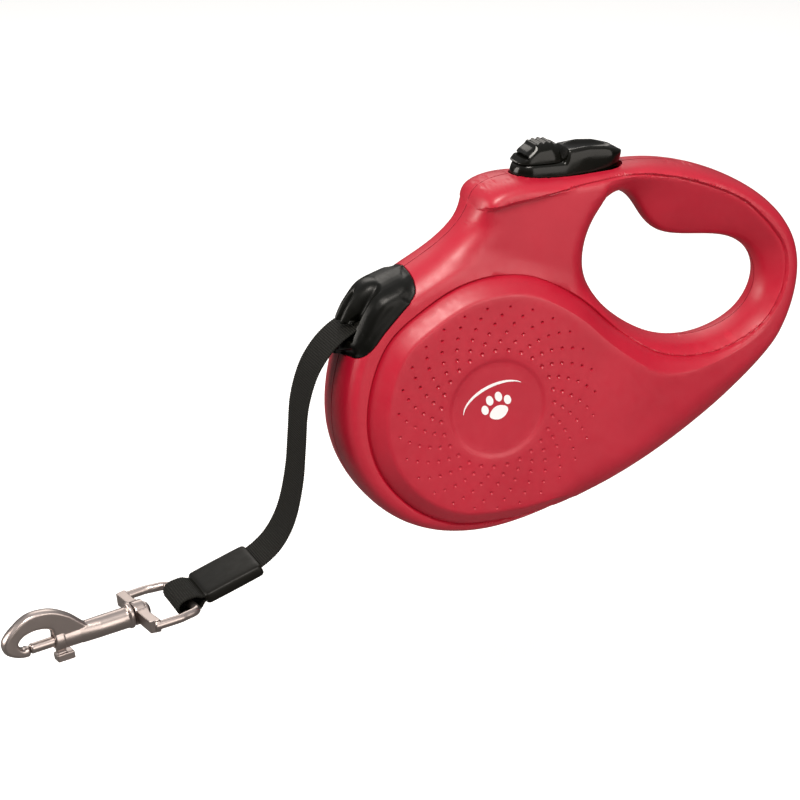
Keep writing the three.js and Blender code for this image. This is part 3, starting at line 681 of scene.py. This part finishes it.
def casing_plan():
    """Triangulated plan of the casing side, fine where the form turns."""
    lines = [(OUTLINE, True), (HOLE, True), (RIM, False)]
    strips = [inward(OUTLINE, depth) for depth in (0.01, 0.06, 0.2, 0.5, 1.0, 1.7, 2.6, 3.6, 4.8, 6.2)]
    strips += [inward(HOLE, -depth) for depth in (0.02, 0.12, 0.4, 0.9, 1.7, 2.8, 4.2)]
    for side in (-1, 1):
        for depth in (0.18, 0.36, 0.7):
            strips.append(offset(RIM, side * depth, False))
    for depth in (0.85, 1.0, 1.15):
        for side in (-1, 1):
            strips.append(offset(RIM, side * depth * chamfer_width(RIM[:, 0]), False))
    for step in (-DISH_EDGE, -0.5, 0, 0.5, DISH_EDGE):
        lines.append((circle(0, 0, DISH_R + step, 96), True))
    for x, z, radius in PITS:
        lines.append((circle(x, z, radius, 8), True))
        strips.append(circle(x, z, radius * 0.55, 6))
        strips.append(np.array([[x, z]]))
    ridge = np.concatenate(strips)
    crowd = np.concatenate([ridge] + [line for line, _ in lines])
    return triangulate(lines, np.vstack([ridge, grid(*PLAN_AREA, 1.5, crowd, 0.8)]), in_casing)


PLAN, PLAN_FACES = casing_plan()


def half_shell(name, side):
    """One casing half; side is -1 for the left one and 1 for the right one."""
    height = side_height(PLAN, True, side > 0)
    return field_solid(name, PLAN, PLAN_FACES, side * height, side * SEAM, along_y, SEAM_INSET)


def cavity(name, side):
    """The hollow of one half."""
    rim = resample(inward(OUTLINE, EDGE_WALL), 3.0, True)
    well = resample(inward(HOLE, -EDGE_WALL), 3.0, True)
    spread = grid(*PLAN_AREA, 3.0, np.vstack([rim, well]), 1.5)
    flat, faces = triangulate([(rim, True), (well, True)], spread,
                              lambda c: inside(c, rim) & ~inside(c, well))
    depth = np.maximum(side_height(flat, False, side > 0) - WALL, 0.5)
    return field_solid(name, flat, faces, side * depth, -side * 1.0, along_y)


def button_plan(extra, count=24):
    """Round-ended plan of the brake button in x and y."""
    radius = BUTTON_HALF + extra
    ends = np.linspace(-math.pi / 2, math.pi / 2, count)
    rear = np.stack([BUTTON_X[1] - BUTTON_HALF + radius * np.cos(ends), radius * np.sin(ends)], axis=1)
    front = np.stack([BUTTON_X[0] + BUTTON_HALF - radius * np.cos(ends), -radius * np.sin(ends)], axis=1)
    return np.vstack([rear, front])


def outlet_loop(gap):
    """Closed edge of the black outlet region, grown by the gap."""
    region = np.array(OUTLET_CONTROL, float)
    soft = np.vstack([region[:1], through(region[1:8], 6), region[8:]])
    return inward(resample(soft, 1.2, True), -gap) if gap else soft


def casing_half(name, side):
    """Hollow shell with a post and a bore for each screw, and room for the outlet and the brake button."""
    hollow = cavity("cavity", side)
    for x, z in SCREWS:
        cut(hollow, post("boss", x, z, SCREW_POST_R[side], side * 0.3, side * 30))
    shell = cut(half_shell(name, side), hollow)
    for x, z in SCREWS:
        cut(shell, post("bore", x, z, SCREW_BORE_R, -side, side * SCREW_BORE_TOP))
        if side > 0:
            cut(shell, post("sink", x, z, SCREW_HEAD_R, SCREW_SEAT, 30))
    cut(shell, prism("outlet_gap", outlet_loop(OUTLET_GAP), -40, 40))
    cut(shell, prism("button_gap", button_plan(BUTTON_GAP), 55, 110, lift=along_z))
    return shade(shell)


left = casing_half("left_casing_shell", -1)
dress(left, RED, "casing", "red_plastic", "left_casing")
right = casing_half("right_casing_shell", 1)
dress(right, RED, "casing", "red_plastic", "right_casing")


# -------- printed mark
PAW_PADS = [(0.0, -1.6, 3.3, 2.6), (-4.6, 1.5, 1.35, 1.8), (-1.8, 4.1, 1.35, 1.9), (1.8, 4.1, 1.35, 1.9),
            (4.6, 1.5, 1.35, 1.8)]  # centre and half sizes; the large pad first
MARK_TILT = math.radians(20)
MARK_SINK = 0.03
MARK_THICK = 0.1
ARC_CENTRE_Z = 2
ARC_HALF_SIZE = np.array([13, 7.2])
ARC_HALF_WIDTH = 0.55


def side_mark(name, side):
    """A plain paw print under a thin arc, printed on the dish floor."""
    floor = PANEL_HALF - DISH_DEPTH

    def print_on(name, loop):
        x = side * -1 * (loop[:, 0] * math.cos(MARK_TILT) - loop[:, 1] * math.sin(MARK_TILT))
        z = loop[:, 0] * math.sin(MARK_TILT) + loop[:, 1] * math.cos(MARK_TILT)
        return prism(name, np.stack([x, z], axis=1), side * (floor - MARK_SINK), side * (floor + MARK_THICK))

    sweep = np.linspace(math.radians(28), math.radians(168), 40)
    ray = np.stack([np.cos(sweep), np.sin(sweep)], axis=1)
    width = (ARC_HALF_WIDTH * np.sin(np.linspace(0.15, math.pi - 0.15, 40)))[:, None]
    upper = (0, ARC_CENTRE_Z) + (ARC_HALF_SIZE + width) * ray
    lower = (0, ARC_CENTRE_Z) + (ARC_HALF_SIZE - width) * ray
    mark = print_on(name, np.vstack([upper, lower[::-1]]))
    turns = np.linspace(0, 2 * math.pi, 40, endpoint=False)
    for i, (cx, cz, rx, rz) in enumerate(PAW_PADS):
        dent = 1 + (0.12 * np.cos(2 * turns) if i == 0 else 0)
        loop = np.stack([cx + rx * dent * np.cos(turns), cz + rz * np.sin(turns)], axis=1)
        join(mark, print_on("pad", loop))
    return dress(mark, MARK, "casing", "red_plastic")


side_mark("left_mark", -1)
side_mark("right_mark", 1)


# -------- front outlet
SADDLE_LINE = [(-20, 55.2), (-28.5, 51.2), (-36, 48.4), (-42.6, 45.6), (-46.4, 42), (-50, 36),
               (-53.4, 28.6), (-55.2, 22), (-56.4, 14)]
SADDLE_INSIDE = [(-30, 12), (-12, 44)]
SADDLE_HALF = 14.8
HOOD = [(-36, 46.4), (-40.6, 47.4), (-44.4, 46.4), (-47.6, 43.6), (-50.2, 39.8), (-52.3, 36), (-53.4, 32.4),
        (-49.6, 32.4), (-46.4, 34.2), (-42, 37.5), (-37, 41)]
HOOD_ROOT = (-41.0, 41.5)
HOOD_HALF = 6.6
VALLEY = [(-39, 50), (-40.2, 45.6), (-44.2, 40.6), (-46.8, 36), (-47.2, 33), (-62, 33), (-62, 50)]
MOUTH = [(-45, 33), (-50, 31.6), (-53.5, 31.8), (-62, 36), (-62, 28), (-54.5, 27.6), (-50.5, 27.4),
         (-46, 29.5)]
LIP_RECESS = [(-52, 27), (-60, 28), (-60, 23.4), (-53.6, 23)]
MOUTH_HALF = 10.8
TAPE_LEAVE_R = 42.3  # the tape leaves the coil here
TAPE_LEAVE = math.radians(103)


def bulb(name, control, root, half, power, flute_depth):
    """Rounded swelling along Y whose section shrinks to the root at both ends, with a flute in the middle."""
    outline = through(control + control[:1], 5)[:-1]
    root = np.array(root)
    low = ease((46 - outline[:, 1]) / 8)[:, None]
    rings = []
    for y in half * 0.995 * np.sin(np.linspace(-1.5, 1.5, 61)):
        reach = (1 - (abs(y) / half) ** power) ** (1 / power)
        flute = flute_depth * (math.exp(-(y / 1.1) ** 2) - 0.2 * math.exp(-((abs(y) - 3.6) / 1.6) ** 2))
        ring = root + (outline - root) * (reach * (1 - flute * low))
        rings.append(np.stack([ring[:, 0], np.full(len(ring), y), ring[:, 1]], axis=1))
    return loft(name, rings)


def tape_way(half_width, half_height, start, end):
    """Straight slot that the tape leaves the coil through."""
    leave = np.array([math.cos(TAPE_LEAVE), math.sin(TAPE_LEAVE)])
    forward = np.array([-leave[1], leave[0]])
    corners = [(start, -half_height), (end, -half_height), (end, half_height), (start, half_height)]
    loop = [TAPE_LEAVE_R * leave + forward * along + leave * out for along, out in corners]
    return prism("way", loop, -half_width, half_width)


def saddle():
    """Main body of the outlet: level with the shells where it meets them, proud of their edge in front."""
    front = through(SADDLE_LINE, 8)
    loop = resample(np.vstack([front, SADDLE_INSIDE]), 0.8, True)
    strips = np.concatenate([offset(front, side * depth, False)
                             for side in (-1, 1) for depth in (0.03, 0.15, 0.4, 0.9, 1.6, 2.6)])
    flat, faces = filled(loop, strips[inside(strips, loop)], (-58, 12), (-12, 56), 0.8)
    level = np.where(inside(flat, OUTLINE), side_height(flat, False), 0.3)
    full = SADDLE_HALF - 2.2 * ease((flat[:, 1] - 40) / 14)
    proud = full * rounded(distance(flat, front, False) / 7, 2.4)
    region = outlet_loop(0)
    from_shell = distance(flat, region, True) * inside(flat, region)
    height = np.maximum(level + (proud - level) * ease(from_shell / 4.5), 0.05)
    return field_solid("outlet", flat, faces, -height, height, along_y)


def outlet():
    """Saddle with a fluted hood over the tape's mouth, cut to the region between the shells."""
    body = cut(saddle(), prism("valley", VALLEY, -10, 10))
    join(body, bulb("hood", HOOD, HOOD_ROOT, HOOD_HALF, power=2.6, flute_depth=0.42))
    melt(body, voxel=0.35, passes=7)
    combine(body, prism("region", outlet_loop(0), -40, 40), "INTERSECT")
    cut(body, prism("mouth", through(MOUTH + MOUTH[:1], 5)[:-1], -MOUTH_HALF, MOUTH_HALF))
    cut(body, tape_way(half_width=10.1, half_height=0.9, start=20, end=62))
    cut(body, prism("lip_recess", LIP_RECESS, -3.4, 3.4))
    melt(body, voxel=0.3, passes=3)
    return shade(body, 60)


dress(outlet(), SATIN, "casing", "black_plastic", "nozzle_guide")


# -------- brake button and lock
BUTTON_TOP = [(12, 83.6), (14.6, 85), (30.6, 85), (31.6, 86.6), (32.6, 89.4), (40, 90.2), (46, 89.8),
              (52, 88.4), (55, 86.6)]
BOWL_CENTRE_X = 43
BOWL_HALF = (10.6, 5.6)
BOWL_RIM = 90.2
BOWL_DEPTH = 2.6
BUTTON_FLOOR = 75.0
BUTTON_LEG = [(12.6, 2.5), (15, 2.5), (15, -2.5), (12.6, -2.5)]
LOCK_TOP = [(13.4, 85.6), (14.6, 87), (17.1, 89.3), (20.7, 91.9), (25.5, 92.3), (29, 91.0), (30.6, 88.6),
            (31, 86)]
LOCK_X = 22.2
LOCK_HALF = (8.8, 6.9)
LOCK_FLOOR = 85.6
LOCK_NOTCH = [(12, 87.6), (17.4, 87.0), (16.6, 88.4), (12, 89.6)]
TOOTH_HEIGHT = 0.55
TOOTH_PITCH = 2.1
TOOTH_START = 19.6


def plan_solid(name, loop, pitch, rows, top, bottom):
    """Solid over an XY loop, whose heights depend on the place and on the distance from the loop."""
    flat, faces = stepped(loop, rows, pitch)
    edge = distance(flat, loop, True)
    return field_solid(name, flat, faces, top(flat, edge), bottom(flat, edge), along_z)


def button_middle(x):
    """Height of the button's widest line, which rises to the rear."""
    return 81.0 + 4.6 * ease((x - 30) / 10) + 1.2 * ease((x - 46) / 9)


def button_top(flat, edge):
    """Crown of the button with the bowl for the thumb in its rear part."""
    x, y = flat[:, 0], flat[:, 1]
    crown = np.interp(x, *zip(*BUTTON_TOP))
    middle = button_middle(x)
    height = middle + 0.05 + (crown - middle) * rounded(edge / 1.5, 2.2)
    bowl = 1 - ((x - BOWL_CENTRE_X) / BOWL_HALF[0]) ** 2 - (y / BOWL_HALF[1]) ** 2
    bowl_height = BOWL_RIM - BOWL_DEPTH * np.sqrt(np.maximum(bowl, 0))
    return np.where(bowl > 0, np.minimum(height, bowl_height), height)


def button_bottom(flat, edge):
    """Underside, drawn in further towards the rear."""
    x = flat[:, 0]
    middle = button_middle(x)
    return middle - 0.05 - (middle - BUTTON_FLOOR) * rounded(edge / (1.2 + 4.5 * ease((x - 40) / 14)), 1.4)


def brake_button():
    """Thumb button with the leg that presses the pawl."""
    piece = plan_solid("brake_button_pad", resample(button_plan(0), 0.6, True), 0.7,
                       (0.03, 0.15, 0.4, 0.8, 1.3, 2.0), button_top, button_bottom)
    join(piece, prism("leg", BUTTON_LEG, 63.6, 78, lift=along_z))
    return shade(piece, 40)


dress(brake_button(), BLACK, "button", "black_plastic", "brake_button")


def button_spring():
    """Coil spring under the button, built at one fixed length, though the button shortens it in use."""
    x, y, low, high, radius, wire, coils = 24, -5, 60.7, 73.3, 2.6, 0.4, 6
    around = np.linspace(0, 2 * math.pi, 10, endpoint=False)
    rings = []
    for turn in np.linspace(0, coils, coils * 24 + 1):
        angle = 2 * math.pi * turn
        reach = radius + wire * np.cos(around)
        height = low + (high - low) * turn / coils + wire * np.sin(around)
        rings.append(np.stack([x + reach * math.cos(angle), y + reach * math.sin(angle), height], axis=1))
    spring = shade(loft("button_spring_coil", rings), 60)
    dress(spring, SPRING, "casing", "spring_steel", "button_spring")
    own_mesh(spring)


button_spring()


def lock_top(flat, edge):
    """Hump of the lock slider with saw teeth across its top."""
    x, y = flat[:, 0], flat[:, 1]
    crown = np.interp(x, *zip(*LOCK_TOP))
    height = LOCK_FLOOR + (crown - LOCK_FLOOR) * rounded(edge / 3.2, 2.0)
    wave = np.sin((x - TOOTH_START) * 2 * math.pi / TOOTH_PITCH)
    teeth = TOOTH_HEIGHT * np.maximum(0, wave) ** 0.6
    teeth = teeth * ease((x - 19.4) / 0.4) * ease((30.2 - x) / 0.4) * ease((4.9 - np.abs(y)) / 0.3)
    return height + teeth


def lock_bottom(flat, edge):
    """Flat underside."""
    return np.full(len(flat), LOCK_FLOOR - 0.3)


def lock_slider():
    """Ribbed slider on the button, notched in front under its brow."""
    loop = (LOCK_X, 0) + superellipse(90, 0.55) * LOCK_HALF
    piece = plan_solid("lock_slider_hump", resample(loop, 0.6, True), 0.42, (0.03, 0.15, 0.4, 0.8, 1.3),
                       lock_top, lock_bottom)
    cut(piece, prism("notch", LOCK_NOTCH, -8, 8))
    return shade(piece, 45)


dress(lock_slider(), BLACK, "lock", "black_plastic", "lock_slider")


# -------- tape and sleeve
TAPE_PATH = [(-47, 32.5), (-55, 28), (-61, 21.8), (-65.4, 14), (-68.4, 3), (-69.4, -10), (-70.6, -24),
             (-73.8, -38), (-79.4, -47.8), (-87.5, -54.2)]
TAPE_HALF = 9.9
TAPE_THICK = 1.1
RIB_STEPS = 4
PLY = 0.75  # the two plies of the sewn end lie this far above and below its middle
END_TILT = math.radians(22.3)
LOOP_R = 3.0
LOOP_REACH = 1.2


def from_bar(s, t):
    """A point of the sewn end, s from the eye bar towards the hook and t above it, as x and z."""
    return (EYE_BAR[0] - s * math.cos(END_TILT) - t * math.sin(END_TILT),
            EYE_BAR[2] - s * math.sin(END_TILT) + t * math.cos(END_TILT))


def tape_line():
    """Middle line of the tape: from the coil, out of the mouth, round the eye bar, back into the sleeve."""
    start = (TAPE_LEAVE_R * math.cos(TAPE_LEAVE), TAPE_LEAVE_R * math.sin(TAPE_LEAVE))
    straight = [tuple(np.array(start) + (np.array(TAPE_PATH[0]) - start) * k / 4) for k in range(4)]
    upper = [from_bar(s, t) for s, t in ((-22, PLY), (-14, PLY), (-6.6, PLY), (-3.6, 2.4), (-0.5, LOOP_R))]
    turn = [from_bar(LOOP_REACH + LOOP_R * math.cos(a), LOOP_R * math.sin(a))
            for a in np.linspace(math.pi / 2, -math.pi / 2, 9)]
    lower = [from_bar(s, -t) for s, t in ((-0.5, LOOP_R), (-3.6, 2.4), (-6.6, PLY), (-14, PLY), (-26, PLY))]
    return np.array(straight + TAPE_PATH + upper + turn + lower)


def left_of(line):
    """Unit vectors square to the line, to its left."""
    along = np.gradient(line, axis=0)
    along /= np.linalg.norm(along, axis=1)[:, None]
    return np.stack([-along[:, 1], along[:, 0]], axis=1)


def lead_tape():
    """Webbing swept along its middle line, with selvedges and weft ribs, and its weave's coordinates."""
    line = resample(through(tape_line(), 12), RIB_PITCH / RIB_STEPS, False)
    across = np.array([-1, -0.97, -0.9, -0.6, -0.3, 0, 0.3, 0.6, 0.9, 0.97, 1]) * TAPE_HALF
    thin = np.array([0.35, 0.85, 1, 0.96, 0.96, 0.96, 0.96, 0.96, 1, 0.85, 0.35]) * TAPE_THICK / 2
    y = np.concatenate([across, across[::-1]])
    out = np.concatenate([thin, -thin[::-1]])[:, None]
    rings = []
    for i, (centre, normal) in enumerate(zip(line, left_of(line))):
        rib = 1 - 0.16 * (1 + math.cos(2 * math.pi * i / RIB_STEPS))
        flat = centre + normal * out * rib
        rings.append(np.stack([flat[:, 0], y, flat[:, 1]], axis=1))
    piece = loft("lead_tape_web", rings)
    run = np.repeat(np.arange(len(rings)) * RIB_PITCH / RIB_STEPS, len(y))
    width = np.array([v.co.y / MM - MID_Y for v in piece.data.vertices])
    for name, values in (("run", run), ("across", width)):
        weave = piece.data.attributes.new(name, "FLOAT", "POINT")
        weave.data.foreach_set("value", values.astype(np.float32))
    return shade(piece, 50)


dress(lead_tape(), WEB, "lead", "webbing", "lead_tape")


def tape_sleeve():
    """Soft sleeve over the sewn plies, with rolled ends and a slot for the tape."""
    start, length, half_size = 6.4, 23.0, np.array([11.5, 2.6])
    outer = superellipse(72, 0.42)
    slot = superellipse(72, 0.12) * (10.4, 1.6)
    ends = [0, 0.15, 0.5, 1.0, 1.6, 2.6]
    stations = ends + list(np.linspace(3.6, length - 3.6, 14)) + [length - s for s in ends[::-1]]
    rings = []
    for s in stations:
        rolled = 1.3 * (1 - rounded(min(s, length - s) / 1.6, 2.0))
        swell = 0.12 * math.sin(math.pi * s / length)
        rings.append((s, outer * (half_size + (-rolled, swell - rolled * 0.6))))
    rings += [(s, slot) for s in stations[::-1]]
    cloud = []
    for s, ring in rings:
        x, z = from_bar(-(start + s), ring[:, 1])
        cloud.append(np.stack([x, ring[:, 0], z], axis=1))
    return shade(loft("tape_sleeve_cover", cloud, closed=True), 50)


dress(tape_sleeve(), SLEEVE, "lead", "sleeve_rubber", "tape_sleeve")


# -------- swivel eye, hook and bolt
def snap(points):
    """Snap frame in millimetres to metres in the row frame."""
    cp, sp = math.cos(SNAP_PITCH), math.sin(SNAP_PITCH)
    cy, sy = math.cos(SNAP_YAW), math.sin(SNAP_YAW)
    axes = np.array([[-cp * cy, -cp * sy, -sp], [sy, -cy, 0], [-sp * cy, -sp * sy, cp]])
    return row(EYE_BAR + np.asarray(points, float) @ axes)


def snap_plate(name, loop, half, round_width, pitch, rows):
    """Flat casting that stands upright along the hook, with rounded edges."""
    flat, faces = stepped(loop, rows, pitch)
    height = half * np.maximum(rounded(distance(flat, loop, True) / round_width, 2.0), 0.1)
    return field_solid(name, flat, faces, height, -height, along_y, place=snap)


def snap_bar(name, a0, a1, w0, w1, b0, b1):
    """Straight block in the snap frame."""
    return prism(name, [(a0, w0), (a1, w0), (a1, w1), (a0, w1)], b0, b1, place=snap,
                 lift=along_z)


EYE_HALF_PATH = [(0, 0), (0, 6), (0, 11.6), (0.6, 13.4), (2.4, 14.4), (5.6, 15.1), (7.6, 15.6), (12, 15.6)]
EYE_PATH = ([(17.6, -15.4)] + [(a, -w) for a, w in EYE_HALF_PATH[:0:-1]] + EYE_HALF_PATH + [(17.6, 15.4)])
EYE_BASE = [(16, -16.2), (19.4, -15.2), (19.4, 15.2), (16, 16.2), (15.4, 15.6), (15.8, 8), (15.2, 5),
            (15.2, -5), (15.8, -8), (15.4, -15.6)]
WIRE_R = 1.6


def swivel_eye():
    """Bent wire bow closed by a cast base, with a hole for the hook's neck."""
    line = resample(through(EYE_PATH, 8), 0.8, False)
    turns = np.linspace(0, 2 * math.pi, 20, endpoint=False)
    rings = []
    for centre, normal in zip(line, left_of(line)):
        flat = centre + normal * WIRE_R * np.cos(turns)[:, None]
        rings.append(along_z(flat, WIRE_R * np.sin(turns)))
    eye = loft("swivel_eye_ring", rings, place=snap)
    join(eye, prism("base", EYE_BASE, -2.4, 2.4, place=snap, lift=along_z))
    join(eye, turned("boss", [(15.4, 4.2), (15.8, 4.4), (19.4, 4.4), (19.8, 4.1)], place=snap))
    melt(eye, voxel=0.22, passes=5)
    cut(eye, turned("hole", [(14, 2.3), (21, 2.3)], place=snap))
    return shade(eye, 50)


dress(swivel_eye(), NICKEL, "swivel", "nickel", "swivel_eye")


HOOK_LOOP = [(33, 1.5), (37.4, 2.8), (43.4, 8.4), (50.3, 12.1), (58.4, 12.6), (65, 9.3), (69.2, 5.1),
             (68.8, 0.5), (64.3, -2.3), (60, -2.6), (60, 0.7), (62.3, 0.8), (63.6, 3.1), (61, 5.3),
             (56.2, 6), (51.4, 4.6), (49.8, 1), (40, -2)]
BOLT_AXIS = (0.0, -0.6)
BARREL = [(21.6, 3.3, 3.3), (22.2, 3.9, 3.9), (33, 3.9, 3.9), (37, 3.5, 3.9), (41, 3.0, 3.9),
          (46.8, 2.9, 3.9), (47.2, 3.2, 4.3), (50.0, 3.2, 4.3), (50.4, 2.9, 3.9)]
COLLAR = [(20.2, 4.3), (20.6, 4.9), (21.7, 4.9), (22.1, 4.3)]
RIVET = [(13.0, 0.8), (13.2, 1.7), (13.7, 2.6), (14.4, 3.1), (15.2, 3.2)]
BOLT_ROD = [(42.3, 1.4), (42.7, 1.9), (59.0, 1.9), (59.6, 1.4)]
THUMB_TAB = [(44.0, -2.2), (50.6, -2.2), (50.6, 2.2), (44.0, 2.2)]


def hook_body():
    """Cast hook with its barrel, bored for the bolt, and the neck that is riveted through the eye."""
    loop = np.array(through(HOOK_LOOP + HOOK_LOOP[:1], 6)[:-1])
    hook = snap_plate("hook_casting", resample(loop, 0.5, True), half=2.4, round_width=1.1, pitch=0.7,
                      rows=(0.05, 0.2, 0.45, 0.8, 1.2))
    join(hook, turned("barrel", BARREL, place=snap, centre=BOLT_AXIS))
    join(hook, turned("collar", COLLAR, place=snap))
    join(hook, turned("neck", [(13.9, 1.9), (21.4, 1.9)], place=snap))
    join(hook, turned("rivet", RIVET, place=snap))
    cut(hook, turned("bore", [(30, 2.3), (56, 2.3)], place=snap, centre=BOLT_AXIS))
    cut(hook, snap_bar("slot", 40.2, 54, -1.5, 1.5, -8, -0.6))
    melt(hook, voxel=0.2, passes=5)
    return shade(hook, 80)


dress(hook_body(), NICKEL, "hook", "nickel", "hook_body")


def hook_bolt():
    """Sliding bolt with the stem and thumb tab that draw it back."""
    bolt = turned("hook_bolt_pin", BOLT_ROD, place=snap, centre=BOLT_AXIS)
    join(bolt, snap_bar("stem", 46.6, 50.0, -1.2, 1.2, -7, -0.6))
    join(bolt, prism("tab", THUMB_TAB, -8.4, -5.6, place=snap, lift=along_z))
    melt(bolt, voxel=0.2, passes=6)
    return shade(bolt, 80)


dress(hook_bolt(), NICKEL, "bolt", "nickel", "hook_bolt")

# -------- inner parts carried over from the CAD
INNER = {
    NATURAL: ["reel_drum", "spring_case", "spring_cover", "spring_arbor", "left_washer", "right_washer",
              "brake_pawl"],
    WEB: ["tape_coil"],
    STEEL: ["reel_axle", "pawl_pin", "tape_anchor_pin"] + [f"casing_screw_{i + 1}" for i in range(7)]
    + [f"cover_screw_{i + 1}" for i in range(3)],
    SPRING: ["mainspring", "bolt_spring"],
}
for inner_material, inner_names in INNER.items():
    for inner_name in inner_names:
        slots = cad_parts[inner_name].data.materials
        slots.clear()
        slots.append(inner_material)


# -------- floor, light and camera
CAMERA_AT = (-385.44, -976.88, 338.02)
CAMERA_TO = (-27.63, 6.19, -1.90)
CAMERA_LENS = 135.616
FLOOR_Z = cad_box[0].z - 0.056  # the snap swings below the rest box
FLOOR_HALF = 8000
WARM_LIGHT = (1.0, 0.94, 0.87)
LIGHT_AIM = Vector((0.0, 0.02, 0.0))
LIGHTS = {  # place and size in metres, power in watts
    "key": ((-0.4, -0.7, 1.15), (0.5, 0.4), 17),
    "front": ((0.45, -1.15, 0.3), (1.0, 0.8), 7),
    "back": ((0.2, 1.2, 0.9), (0.8, 0.6), 3.6),
    "left": ((-1.2, 0.45, 0.3), (0.6, 0.6), 9),
}
SKY = {"From Min": 0.0, "From Max": 0.9, "To Min": 0.05, "To Max": 0.6}  # brightness over the sky's height


def floor_paper():
    """Pale paper that looks even to the camera and throws less light back than it shows."""
    n = Nodes("pale_floor")
    ray = n.add("ShaderNodeLightPath").outputs
    seen = ray["Is Camera Ray"]
    bounce = n.mix(ray["Is Glossy Ray"], colour(0.4, 0.4, 0.4), colour(0.12, 0.12, 0.12))
    paper = n.mix(n.ramp(n.noise(1.5, 2), 0, 1), colour(0.93, 0.93, 0.93), colour(0.95, 0.95, 0.95))
    n.put(n.skin, "Base Color", n.mix(seen, bounce, paper))
    n.put(n.skin, "Roughness", 0.9)
    n.put(n.skin, "Emission Color", colour(1, 1, 1))
    n.put(n.skin, "Emission Strength", n.math("MULTIPLY", seen, 0.35))
    return n.material


def add_floor():
    """Flat slab under the object."""
    corners = [(-FLOOR_HALF, -FLOOR_HALF), (FLOOR_HALF, -FLOOR_HALF), (FLOOR_HALF, FLOOR_HALF),
               (-FLOOR_HALF, FLOOR_HALF)]
    floor = prism("floor", corners, -10, 0, lift=along_z,
                  place=lambda points: np.asarray(points, float) * MM + (0, 0, FLOOR_Z))
    floor.data.materials.append(floor_paper())


def add_sky():
    """White surroundings, dim at the horizon and brighter overhead."""
    world = bpy.data.worlds.new("studio")
    world.use_nodes = True
    sky = world.node_tree
    glow = sky.nodes.new("ShaderNodeMapRange")
    level = sky.nodes.new("ShaderNodeSeparateXYZ")
    sky.links.new(sky.nodes.new("ShaderNodeTexCoord").outputs["Generated"], level.inputs[0])
    sky.links.new(level.outputs["Z"], glow.inputs["Value"])
    for key, value in SKY.items():
        glow.inputs[key].default_value = value
    sky.links.new(glow.outputs["Result"], sky.nodes["Background"].inputs["Strength"])
    sky.nodes["Background"].inputs["Color"].default_value = colour(1, 1, 1)
    bpy.context.scene.world = world


def aim(thing, at, to):
    """Puts a lamp or camera at a place and points it."""
    thing.location = at
    thing.rotation_mode = "QUATERNION"
    thing.rotation_quaternion = (to - at).to_track_quat("-Z", "Y")
    bpy.context.scene.collection.objects.link(thing)


def add_lights():
    """Soft rectangular panels round the object."""
    for name, (at, size, power) in LIGHTS.items():
        light = bpy.data.lights.new(name, "AREA")
        light.shape = "RECTANGLE"
        light.size, light.size_y = size
        light.energy = power
        light.color = WARM_LIGHT
        aim(bpy.data.objects.new(name, light), Vector(at), LIGHT_AIM)


def add_camera():
    """Long lens from the left and above."""
    camera = bpy.data.objects.new("camera", bpy.data.cameras.new("camera"))
    camera.data.lens = CAMERA_LENS
    camera.data.sensor_width = 36
    camera.data.clip_start, camera.data.clip_end = 0.05, 60
    aim(camera, Vector(row(CAMERA_AT)), Vector(row(CAMERA_TO)))
    bpy.context.scene.camera = camera


add_floor()
add_sky()
add_lights()
add_camera()
bpy.context.scene.view_settings.view_transform = "Standard"
